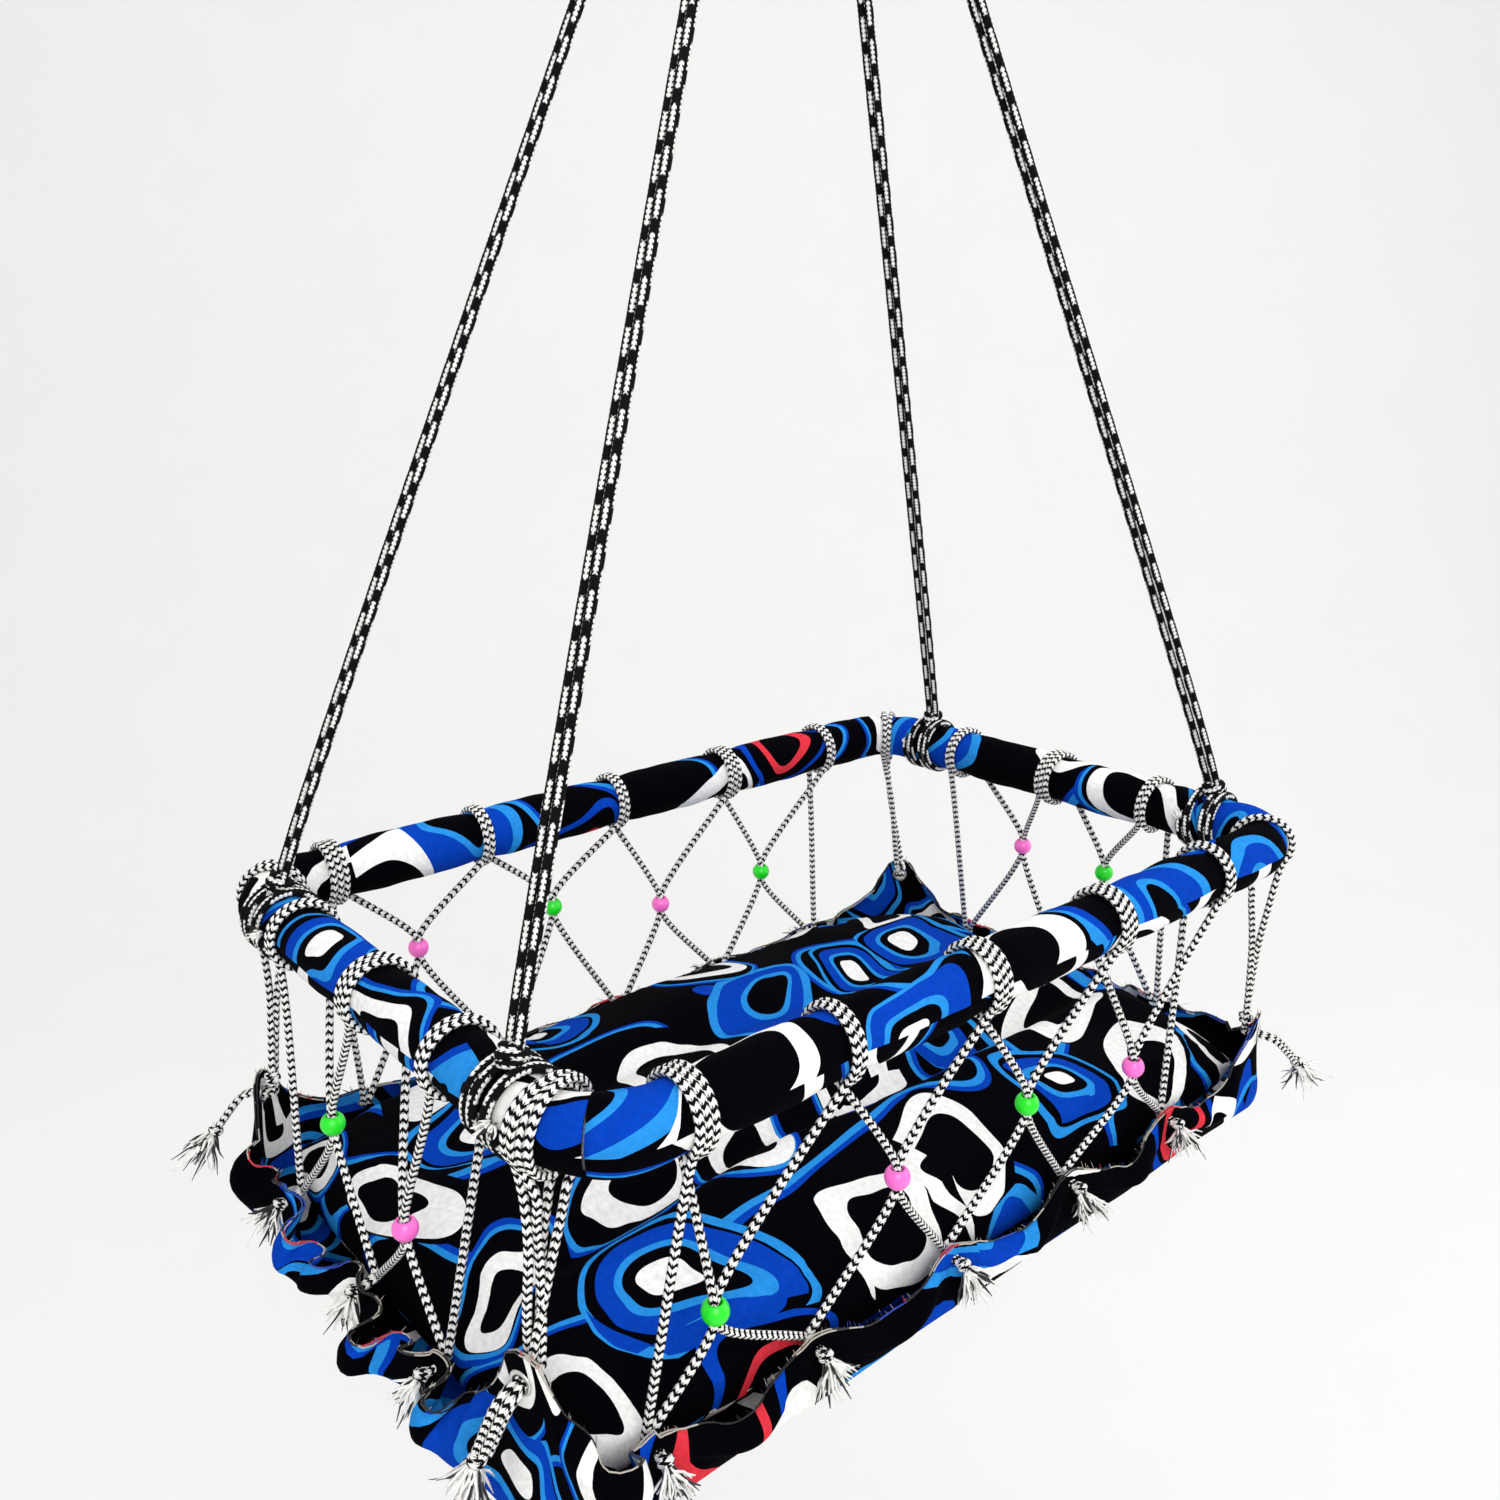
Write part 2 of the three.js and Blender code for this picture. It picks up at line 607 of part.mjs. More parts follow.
// Corner cords: turns round the hoop's corner, strands down to the eyelet, and a tail outside it
function cornerCord(corner) {
  const { signX, signY, strands, windingPlace } = corner;
  const centre = new THREE.Vector3(frameLength / 2 - cornerRadius, frameWidth / 2 - cornerRadius, 0);
  const turnRadius = windingRadius(cordDiameter);
  const low = wrapLowShare * 2 * Math.PI;
  const end = Math.PI + low + cornerTurns * 2 * Math.PI;
  const perTurn = cornerWindingDegrees / (2 * Math.PI);
  const steps = Math.round(((end + low) / (2 * Math.PI)) * windingSteps);
  const turns = Array.from({ length: steps + 1 }, (_, i) => {
    const angle = -low + ((end + low) * i) / steps;
    const away = planDirection(windingPlace + perTurn * (angle - (end - low) / 2));
    return centre.clone().addScaledVector(away, cornerRadius + turnRadius * Math.cos(angle))
      .setZ(turnRadius * Math.sin(angle));
  });
  const across = planDirection(windingPlace + 90);
  const { centre: eyelet, facing } = eyeletPlace(corner);
  const inside = eyelet.clone().addScaledVector(facing, -bundleOut);
  const knot = inside.clone().setZ(eyelet.z + bundleKnotRise);
  const joined = inside.clone().setZ(eyelet.z + bundleGatherDrop);
  const middle = centre.clone().addScaledVector(planDirection(windingPlace), cornerRadius);
  const gather = middle.clone().setZ(-bundleGatherDrop);
  const under = middle.clone().setZ(-turnRadius);
  const pitch = cordDiameter + cordGap;
  const strandRoute = (index, start) => {
    const offset = (index - (strands - 1) / 2) * pitch;
    return [...start, gather.clone().addScaledVector(across, offset),
      joined.clone().addScaledVector(across, offset / 2), inside.clone()];
  };
  const first = strandRoute(0, []).reverse();
  const last = strandRoute(strands - 1, []);
  const routes = [[...first, ...turns, ...last]];
  for (let i = 1; i < strands - 1; i += 1) {
    routes.push(strandRoute(i, [under.clone().addScaledVector(across, (i - (strands - 1) / 2) * pitch)]));
  }
  const outside = eyelet.clone().addScaledVector(facing, bundleOut);
  const tailTop = outside.clone().addScaledVector(facing, bundleDiameter / 2).setZ(eyelet.z - bundleDiameter);
  const tailEnd = tailTop.clone().addScaledVector(facing, bundleTailOut).setZ(eyelet.z - bundleTailLength);
  const tail = [inside, eyelet, outside, tailTop, tailEnd];
  const mirror = (p) => new THREE.Vector3(signX * p.x, signY * p.y, p.z);
  const pieces = routes.map((route) => sweep(route.map(mirror), cordRadius, cordSides));
  pieces.push(sweep(tail.map(mirror), bundleDiameter / 2, steelSides));
  pieces.push(ball(bundleKnotWidth, bundleKnotHeight, mirror(knot)));
  pieces.push(tiedEnd(mirror(tailEnd), bundleKnotWidth));
  return { turns, solid: toGeometry(join(pieces)) };
}

for (const corner of corners) {
  const { turns, solid } = cornerCord(corner);
  tellLeastGap(`corner_cord_${corner.name}`, turns, cordDiameter);
  addPiece(frame, `corner_cord_${corner.name}`, solid, colours.cord);
}

// Bed edge: a rounded rectangle, followed from the front's left end towards the right.
// Each side is followed by the corner after it.
const bedSides = [
  { side: 'front', straight: bedLength - 2 * bedCornerRadius, reach: bedWidth / 2, corner: corners[2] },
  { side: 'right', straight: bedWidth - 2 * bedCornerRadius, reach: bedLength / 2, corner: corners[3] },
  { side: 'back', straight: bedLength - 2 * bedCornerRadius, reach: bedWidth / 2, corner: corners[0] },
  { side: 'left', straight: bedWidth - 2 * bedCornerRadius, reach: bedLength / 2, corner: corners[1] },
];
const cornerLength = (Math.PI / 2) * bedCornerRadius;

function edgeAt(distance) {
  let rest = distance;
  for (const { side, straight, reach } of bedSides) {
    const turn = new THREE.Matrix4().makeRotationZ(sideTurns[side]);
    if (rest < straight + cornerLength) {
      const angle = Math.max(0, rest - straight) / bedCornerRadius;
      const outward = new THREE.Vector3(Math.sin(angle), -Math.cos(angle), 0);
      const place = new THREE.Vector3(Math.min(rest, straight) - straight / 2, -reach + bedCornerRadius, 0)
        .addScaledVector(outward, bedCornerRadius);
      return { side, place: place.applyMatrix4(turn), outward: outward.applyMatrix4(turn) };
    }
    rest -= straight + cornerLength;
  }
  return edgeAt(0);
}

// Ties and tips in order along the edge
function edgeAnchors() {
  const anchors = [];
  let start = 0;
  for (const { side, straight, corner } of bedSides) {
    for (const hole of layouts[side].holes) anchors.push({ distance: start + straight / 2 + hole.x });
    const fromSide = side === 'front' || side === 'back' ? 90 - corner.tipPlace : corner.tipPlace;
    const along = start + straight + bedCornerRadius * THREE.MathUtils.degToRad(fromSide);
    anchors.push({ distance: along, corner });
    start += straight + cornerLength;
  }
  return { anchors, perimeter: start };
}

// A station's profile from the free edge over the ridge, down the wall and over the floor.
// Each point is a distance outwards from the station and a height.
function stationProfile(side, away, rise, eyeletZ, wave) {
  const { lerp } = THREE.MathUtils;
  const loose = away * (1 - rise);
  const nearTip = eyeletZ + tipAboveEyelet - tipShoulder * (1 - rise);
  return [
    [(edgeFlops[side] + wave) * loose, lerp(edgeZ - edgeDip * loose, nearTip, rise)],
    [ridgeOut * loose, lerp(-netDrop - ridgeBelowTie + ridgeRise * loose, eyeletZ - tipFoot, rise)],
    [wallBelly * loose, -netDrop - wallFoot],
    [-floorCurveWidth, floorZ + floorCurve],
    [-floorInset, floorZ],
  ];
}

function edgeStations() {
  const { anchors, perimeter } = edgeAnchors();
  const stations = [];
  anchors.forEach((anchor, i) => {
    const first = { ...anchors[0], distance: anchors[0].distance + perimeter };
    const next = anchors[i + 1] ?? first;
    const from = anchor.distance + (anchor.corner ? tipFlat / 2 : 0);
    const to = next.distance - (next.corner ? tipFlat / 2 : 0);
    const corner = anchor.corner ?? next.corner;
    const eyeletZ = corner ? netDrop * (corner.eyeletRiseShare - 1) : 0;
    const count = Math.max(1, Math.round((to - from) / stationSpacing));
    if (anchor.corner) {
      const { side, place, outward } = edgeAt(anchor.distance);
      const along = new THREE.Vector3(-outward.y, outward.x, 0);
      for (const shift of [-tipFlat / 2, 0, tipFlat / 2]) {
        const profile = stationProfile(side, 0, 1, eyeletZ, 0);
        if (shift !== 0) profile[0][1] -= tipShoulder;
        const flat = { place: place.clone().addScaledVector(along, shift), outward };
        stations.push({ ...edgeAt(anchor.distance + shift), profile, flat });
      }
    }
    for (let k = anchor.corner ? 1 : 0; k < count; k += 1) {
      const distance = from + ((to - from) * k) / count;
      const { side, place, outward } = edgeAt(distance % perimeter);
      const fromTip = Math.min(anchor.corner ? distance - from : Infinity,
        next.corner ? to - distance : Infinity);
      const rise = Math.exp(-fromTip / tipReach);
      const wave = edgeRuffles[side] * (k % 2 === 0 ? 1 : -1);
      const away = Math.sin((Math.PI * k) / count) ** 2;
      stations.push({ place, outward, profile: stationProfile(side, away, rise, eyeletZ, wave) });
    }
  });
  return stations;
}

function clothGeometry() {
  const rows = edgeStations().map((station) => {
    const { place, profile } = station;
    const row = profile.map(([shift, z], i) => {
      const base = i < tipRows && station.flat ? station.flat : station;
      const point = base.place.clone().addScaledVector(base.outward, shift).setZ(z);
      if (i === profile.length - 1) return [point, new THREE.Vector3(0, 0, -1)];
      const before = profile[Math.max(i - 1, 0)];
      const after = profile[i + 1];
      const normal = base.outward.clone().multiplyScalar(Math.max(0, before[1] - after[1]));
      return [point, normal.setZ(after[0] - before[0]).normalize()];
    });
    const middle = place.clone().multiplyScalar(floorMiddleShare).setZ(floorZ);
    return [...row, [middle, new THREE.Vector3(0, 0, -1)]];
  });
  const positions = [];
  const addPoint = (p) => {
    positions.push(p.x, p.y, p.z);
    return positions.length / 3 - 1;
  };
  const layer = (side) => rows.map((row) => row.map(([p, normal]) =>
    addPoint(p.clone().addScaledVector(normal, (side * clothThickness) / 2))));
  const inner = layer(-1);
  const outer = layer(1);
  const innerMiddle = addPoint(new THREE.Vector3(0, 0, floorZ + clothThickness / 2));
  const outerMiddle = addPoint(new THREE.Vector3(0, 0, floorZ - clothThickness / 2));
  const index = [];
  const quad = (a, b, c, d) => index.push(a, b, c, a, c, d);
  rows.forEach((row, i) => {
    const next = (i + 1) % rows.length;
    for (let k = 0; k < row.length - 1; k += 1) {
      quad(inner[i][k], inner[next][k], inner[next][k + 1], inner[i][k + 1]);
      quad(outer[i][k], outer[i][k + 1], outer[next][k + 1], outer[next][k]);
    }
    const last = row.length - 1;
    index.push(inner[i][last], inner[next][last], innerMiddle);
    index.push(outer[next][last], outer[i][last], outerMiddle);
    quad(outer[i][0], outer[next][0], inner[next][0], inner[i][0]);
  });
  const geometry = new THREE.BufferGeometry();
  geometry.setAttribute('position', new THREE.Float32BufferAttribute(positions, 3));
  geometry.setIndex(index);
  return geometry;
}

function holeCutter(from, to, radius) {
  return toSolid(sweep([from, to], radius, holeSides));
}

function bedCloth() {
  let cloth = toSolid(clothGeometry());
  const reach = clothThickness + cutOverrun;
  for (const side of ['front', 'right', 'back', 'left']) {
    const turn = new THREE.Matrix4().makeRotationZ(sideTurns[side]);
    for (const hole of layouts[side].holes) {
      const ends = [reach, -reach].map((shift) =>
        new THREE.Vector3(hole.x, hole.y - railDistance[side] + shift, hole.z).applyMatrix4(turn));
      cloth = cloth.subtract(holeCutter(...ends, holeRadius));
    }
  }
  for (const corner of corners) {
    const { centre, facing } = eyeletPlace(corner);
    const signs = new THREE.Vector3(corner.signX, corner.signY, 1);
    const ends = [-reach, reach].map((shift) =>
      centre.clone().addScaledVector(facing, shift).multiply(signs));
    cloth = cloth.subtract(holeCutter(...ends, eyeletHoleRadius));
  }
  return toGeometry(cloth);
}

addPiece(frame, 'bed_cloth', bedCloth(), colours.lining);

// Eyelets
function eyeletGeometry() {
  const inner = clothThickness / 2 + clearance;
  const outer = inner + eyeletPlate;
  const half = [[eyeletBarrel, inner], [eyeletFlange, inner], [eyeletFlange, outer], [eyeletBore, outer]];
  const profile = [...half.map(([width, y]) => [width, -y]).reverse(), ...half];
  const points = [...profile, profile[0]].map(([width, y]) => new THREE.Vector2(width / 2, y));
  return new THREE.LatheGeometry(points, eyeletSides);
}

for (const corner of corners) {
  const { centre, facing } = eyeletPlace(corner);
  const signs = new THREE.Vector3(corner.signX, corner.signY, 1);
  facing.multiply(signs);
  const eyelet = addPiece(frame, `eyelet_${corner.name}`, eyeletGeometry(), colours.steel);
  eyelet.position.copy(centre.multiply(signs));
  eyelet.rotation.z = Math.atan2(-facing.x, facing.y);
}

// Mattress: a crowned cushion with rounded corners and one lengthwise crease
function mattressGeometry() {
  const bottomZ = floorZ + clothThickness / 2 + clearance;
  const seamZ = bottomZ + mattressEdge;
  const halfLength = bedLength / 2 - mattressGap;
  const halfWidth = bedWidth / 2 - mattressGap;
  const positions = [];
  const index = [];
  const spread = (i, count) => Math.sin((Math.PI / 2) * ((2 * i) / count - 1));
  const pull = (across) => 1 - mattressCornerShare * across ** mattressCornerPower;
  const point = (i, j, top) => {
    const u = spread(i, mattressColumns);
    const v = spread(j, mattressRows);
    const x = halfLength * u * pull(v);
    const y = halfWidth * v * pull(u);
    const fullness = Math.max(0, (1 - u * u) * (1 - v * v));
    const sunk = Math.min(1, mattressBottomFullness * fullness ** mattressBottomPower);
    if (!top) return [x, y, seamZ - mattressEdge * sunk];
    const crease = creaseDepth * Math.exp(-(((y - creaseFromMiddle) / creaseWidth) ** 2)) * (1 - u ** 4);
    const rise = mattressRise * fullness ** mattressTopPower + mattressCrown * fullness;
    return [x, y, seamZ + Math.max(0, rise - crease)];
  };
  for (const top of [true, false]) {
    for (let i = 0; i <= mattressColumns; i += 1) {
      for (let j = 0; j <= mattressRows; j += 1) positions.push(...point(i, j, top));
    }
  }
  const layer = (mattressColumns + 1) * (mattressRows + 1);
  const at = (i, j, top) => (top ? 0 : layer) + i * (mattressRows + 1) + j;
  for (let i = 0; i < mattressColumns; i += 1) {
    for (let j = 0; j < mattressRows; j += 1) {
      const corner = (top) => [at(i, j, top), at(i + 1, j, top), at(i + 1, j + 1, top), at(i, j + 1, top)];
      const [a, b, c, d] = corner(true);
      index.push(a, b, c, a, c, d);
      const [e, f, g, h] = corner(false);
      index.push(e, g, f, e, h, g);
    }
  }
  const geometry = new THREE.BufferGeometry();
  geometry.setAttribute('position', new THREE.Float32BufferAttribute(positions, 3));
  geometry.setIndex(index);
  return toGeometry(toSolid(geometry));
}

addPiece(frame, 'mattress', mattressGeometry(), colours.bedPrint);

export default cradle;
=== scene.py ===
import math
import random
from collections import namedtuple

import bmesh
import bpy
from bpy.props import FloatProperty, FloatVectorProperty, PointerProperty
from mathutils import Matrix, Vector, noise


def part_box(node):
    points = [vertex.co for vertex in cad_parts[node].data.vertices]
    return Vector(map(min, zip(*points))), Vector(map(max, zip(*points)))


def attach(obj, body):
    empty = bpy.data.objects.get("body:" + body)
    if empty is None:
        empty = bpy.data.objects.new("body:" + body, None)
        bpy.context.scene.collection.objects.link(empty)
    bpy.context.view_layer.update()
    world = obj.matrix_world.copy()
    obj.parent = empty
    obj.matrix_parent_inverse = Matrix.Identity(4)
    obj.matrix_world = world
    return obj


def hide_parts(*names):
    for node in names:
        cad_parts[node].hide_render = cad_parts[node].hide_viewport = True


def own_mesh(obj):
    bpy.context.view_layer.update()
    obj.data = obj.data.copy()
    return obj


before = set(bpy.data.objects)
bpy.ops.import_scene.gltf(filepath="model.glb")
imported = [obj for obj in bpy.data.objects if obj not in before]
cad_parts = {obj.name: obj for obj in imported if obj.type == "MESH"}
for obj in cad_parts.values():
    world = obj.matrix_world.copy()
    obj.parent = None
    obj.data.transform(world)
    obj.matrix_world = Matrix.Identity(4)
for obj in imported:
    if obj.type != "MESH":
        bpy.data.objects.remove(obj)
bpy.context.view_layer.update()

bl_info = {
    "name": "Hanging baby cradle",
    "version": (1, 0, 0),
    "blender": (4, 5, 0),
    "location": "View3D > Sidebar > Cradle",
    "description": "Cloth, cord and bead pieces for a jointed hanging cradle",
    "category": "Object",
}

# Places are in metres. The hoop's plane is the middle height of its rails.
SIDES = ("front", "right", "back", "left")
LONG_SIDES = ("front", "back")
SIDE_TURNS = {"front": 0.0, "right": math.pi / 2, "back": math.pi, "left": -math.pi / 2}
RAIL_LOW, RAIL_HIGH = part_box("rail_cover_front")
PLANE_Z = (RAIL_LOW.z + RAIL_HIGH.z) / 2
HOOP_FRAME = Matrix.Translation((0, 0, PLANE_Z))
CLEARANCE = 0.0003
BED_LIFT = 0.1

# Nets: places along each side as shares of its length, from its left end or its back end
WRAP_SHARES = {
    "front": (0.09, 0.251, 0.437, 0.635, 0.827),
    "back": (0.09, 0.278, 0.477, 0.664, 0.849),
    "left": (0.222, 0.483, 0.717),
    "right": (0.247, 0.498, 0.736),
}
TIE_SHARES = {
    "front": (0.087, 0.253, 0.427, 0.603, 0.778),
    "back": (0.13, 0.31, 0.473, 0.637, 0.81),
    "left": (0.2, 0.475, 0.69),
    "right": (0.24, 0.511, 0.747),
}
EXTRA_TURNS = {
    "front": (2, 1, 2, 2, 1),
    "back": (2, 1, 1, 2, 1),
    "left": (1, 2, 1),
    "right": (1, 2, 1),
}
BEAD_LOOKS = ("green", "pink", "green", "pink")
BEAD_BODIES = {
    "low_beads": ("front_1", "front_4", "left_2"),
    "middle_beads": ("front_2", "front_3", "left_1", "back_1", "back_2"),
    "high_beads": ("back_3", "back_4", "right_1", "right_2"),
}

# Corners: signs in X and Y, strands, the winding's and the tip's places in degrees from the short side,
# extra turns round the rail, and where the tail ends from the outside of the eyelet
Corner = namedtuple("Corner", "name sign_x sign_y strands winding tip turns tail_end")
CORNERS = (
    Corner("back_left", -1, 1, 2, 45, 45, 1, (-0.021, 0.009, -0.024)),
    Corner("front_left", -1, -1, 4, 13, 16, 1, (-0.013, 0.011, -0.037)),
    Corner("front_right", 1, -1, 2, 62, 70, 0, (0.029, -0.01, -0.029)),
    Corner("back_right", 1, 1, 2, 45, 45, 1, (0.012, 0.01, -0.044)),
)


def length_value(name, text, default):
    """A length that a user may change."""
    return FloatProperty(name=name, description=text, default=default, unit="LENGTH")


def colour_value(name, text, default):
    """A colour that a user may change."""
    return FloatVectorProperty(name=name, description=text, default=default, subtype="COLOR")


class CradleSizes(bpy.types.PropertyGroup):
    """Sizes of the hoop, the ropes, the nets and the bed."""

    hoop_length: length_value("Hoop length", "Length of the hoop's centreline", 0.61)
    hoop_width: length_value("Hoop width", "Width of the hoop's centreline", 0.4)
    corner_radius: length_value("Corner radius", "Radius of the hoop's and the bed's corners", 0.04)
    rail_radius: length_value("Rail radius", "Radius of a rail with its cover", 0.018)
    rope_thickness: length_value("Rope thickness", "Thickness of one strand of hanging rope", 0.0058)
    rope_rise: length_value("Rope rise", "Height of the ring's bar above the hoop", 0.813)
    cord_thickness: length_value("Cord thickness", "Thickness of the nets' cord", 0.005)
    net_drop: length_value("Net drop", "Depth of the ties below the hoop", 0.183)
    bead_width: length_value("Bead width", "Width of a bead", 0.015)
    bed_length: length_value("Bed length", "Length of the bed between its ties", 0.658)
    bed_width: length_value("Bed width", "Width of the bed between its ties", 0.402)
    motif_pitch: length_value("Motif pitch", "Distance from one printed motif to the next", 0.107)


class CradleColours(bpy.types.PropertyGroup):
    """Colours of the print, the cords and the beads."""

    print_black: colour_value("Print black", "Ground of the print", (0.0008, 0.0007, 0.0017))
    print_blue: colour_value("Print blue", "Broad bands of the print", (0.002, 0.046, 0.4))
    print_azure: colour_value("Print azure", "Light blue of the print", (0.02, 0.24, 0.64))
    print_white: colour_value("Print white", "White rings of the print", (0.84, 0.82, 0.79))
    print_red: colour_value("Print red", "Accents of the print", (0.65, 0.033, 0.05))
    cord_white: colour_value("Cord white", "Ground of the nets' cord", (0.86, 0.84, 0.8))
    cord_black: colour_value("Cord black", "Flecks of the cord, ground of the rope", (0.004, 0.004, 0.005))
    bead_green: colour_value("Bead green", "Green beads", (0.004, 0.75, 0.008))
    bead_pink: colour_value("Bead pink", "Pink beads", (1.0, 0.16, 0.6))


def sizes():
    return bpy.context.scene.cradle_sizes


def colours():
    return bpy.context.scene.cradle_colours


# Routes, tubes and pieces

# The given points' spans that each level of a centripetal curve mixes
CURVE_SPANS = (((0, 1), (1, 2), (2, 3)), ((0, 2), (1, 3)), ((1, 2),))
SHORTEST_SPAN = 1e-6
WELD_DISTANCE = 1e-6


def with_ends(points):
    """The points with one more before the first and after the last, straight on."""
    return [2 * points[0] - points[1], *points, 2 * points[-1] - points[-2]]


def soft_curve(points, step):
    """Points a step apart along a centripetal curve through the given ones, and each given point's index."""
    padded = with_ends(points)
    route, marks = [points[0]], [0]
    for near in zip(padded, padded[1:], padded[2:], padded[3:]):
        knots = [0.0]
        for a, b in zip(near, near[1:]):
            knots.append(knots[-1] + max(math.sqrt((b - a).length), SHORTEST_SPAN))
        count = max(1, math.ceil((near[2] - near[1]).length / step))
        for i in range(1, count + 1):
            t = knots[1] + (knots[2] - knots[1]) * i / count
            level = near
            for spans in CURVE_SPANS:
                level = [
                    a.lerp(b, (t - knots[low]) / (knots[high] - knots[low]))
                    for a, b, (low, high) in zip(level, level[1:], spans)
                ]
            route.append(level[0])
        marks.append(len(route) - 1)
    return route, marks


def lengths_along(route, start=0.0):
    """How far along a route each of its points lies."""
    alongs = [start]
    for a, b in zip(route, route[1:]):
        alongs.append(alongs[-1] + (b - a).length)
    return alongs


def arc(radius, start, end, steps):
    """Points of an arc in a plane, as pairs."""
    angles = [start + (end - start) * i / steps for i in range(steps + 1)]
    return [(radius * math.cos(angle), radius * math.sin(angle)) for angle in angles]


def heading_at(route, i):
    return (route[min(i + 1, len(route) - 1)] - route[max(i - 1, 0)]).normalized()


def noise_at(x, y, z):
    return noise.noise(Vector((x, y, z)))


def any_way(dice):
    return Vector([dice.uniform(-1, 1) for _ in range(3)])


class Fabric:
    """Collects the tubes and strips of one piece, with a map that its cloth or cord look reads."""

    def __init__(self):
        self.places = []
        self.faces = []
        self.maps = []

    def wrap(self, base, sides, alongs, girth=1.0, inverted=False):
        """Faces between rings of points, mapped round by girth and along by length. inverted is for rings
        that run the other way round."""
        for i in range(len(alongs) - 1):
            for k in range(sides):
                after = (k + 1) % sides
                low, high = base + i * sides, base + (i + 1) * sides
                left, right = girth * k / sides, girth * (k + 1) / sides
                face = [low + k, low + after, high + after, high + k]
                flat = [(left, alongs[i]), (right, alongs[i]), (right, alongs[i + 1]), (left, alongs[i + 1])]
                if inverted:
                    face[1], face[3] = face[3], face[1]
                    flat[1], flat[3] = flat[3], flat[1]
                self.faces.append(face)
                self.maps.append(flat)

    def tube(self, route, radius, sides=8, start=0.0, facings=None):
        """A closed tube along a route. radius is one value or one for each point, and facings turn a column
        of stitches to given ways. Returns how far along its map it ends."""
        count = len(route)
        radii = radius if isinstance(radius, list) else [radius] * count
        base = len(self.places)
        side_way = None
        around = -math.pi / 4 if facings else 0.0
        for i, place in enumerate(route):
            forward = heading_at(route, i)
            if facings:
                side_way = facings[i]
            if side_way is None:
                side_way = forward.orthogonal()
            side_way = (side_way - forward * side_way.dot(forward)).normalized()
            cross_way = forward.cross(side_way)
            for k in range(sides):
                angle = 2 * math.pi * k / sides + around
                self.places.append(
                    place + (side_way * math.cos(angle) + cross_way * math.sin(angle)) * radii[i]
                )
        alongs = lengths_along(route, start)
        self.wrap(base, sides, alongs)
        first = [base + k for k in reversed(range(sides))]
        last = [base + (count - 1) * sides + k for k in range(sides)]
        for end, along in ((first, alongs[0]), (last, alongs[-1])):
            self.faces.append(end)
            self.maps.append([(0.5, along)] * sides)
        return alongs[-1]

    def piece(self, name, matrix=Matrix()):
        mesh = bpy.data.meshes.new(name)
        mesh.from_pydata([tuple(p) for p in self.places], [], self.faces)
        layer = mesh.uv_layers.new(name="cloth")
        layer.data.foreach_set("uv", [value for face in self.maps for pair in face for value in pair])
        mesh.polygons.foreach_set("use_smooth", [len(face) <= 4 for face in self.faces])
        mesh.validate()
        mesh.transform(matrix)
        return add_thing(name, mesh)


def add_thing(name, data):
    """A new object in the scene, of a mesh, a lamp or a camera."""
    thing = bpy.data.objects.new(name, data)
    bpy.context.scene.collection.objects.link(thing)
    return thing


def piece_from(bm, name):
    """A new object from a bmesh, shaded smooth."""
    mesh = bpy.data.meshes.new(name)
    bm.to_mesh(mesh)
    bm.free()
    mesh.polygons.foreach_set("use_smooth", [True] * len(mesh.polygons))
    return add_thing(name, mesh)


def spun_piece(name, profile, steps, matrix):
    """A shape turned round Z from a closed profile of radii and heights, then put in its place."""
    bm = bmesh.new()
    line = [bm.verts.new((radius, 0, z)) for radius, z in profile]
    edges = [bm.edges.new(pair) for pair in zip(line, line[1:] + line[:1])]
    bmesh.ops.spin(bm, geom=line + edges, cent=(0, 0, 0), axis=(0, 0, 1), angle=2 * math.pi, steps=steps,
                   use_merge=True)
    bmesh.ops.remove_doubles(bm, verts=bm.verts, dist=WELD_DISTANCE)
    bmesh.ops.recalc_face_normals(bm, faces=bm.faces)
    bmesh.ops.transform(bm, matrix=matrix, verts=bm.verts)
    return piece_from(bm, name)


def finish_piece(thing, look, body, nodes=()):
    """Gives a piece its finish and its body, and hides the solids that it stands for."""
    thing.data.materials.append(look)
    if nodes:
        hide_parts(*nodes)
    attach(thing, body)
    return thing


# Looks

MIDDLE_GREY = (0.5, 0.5, 0.5)


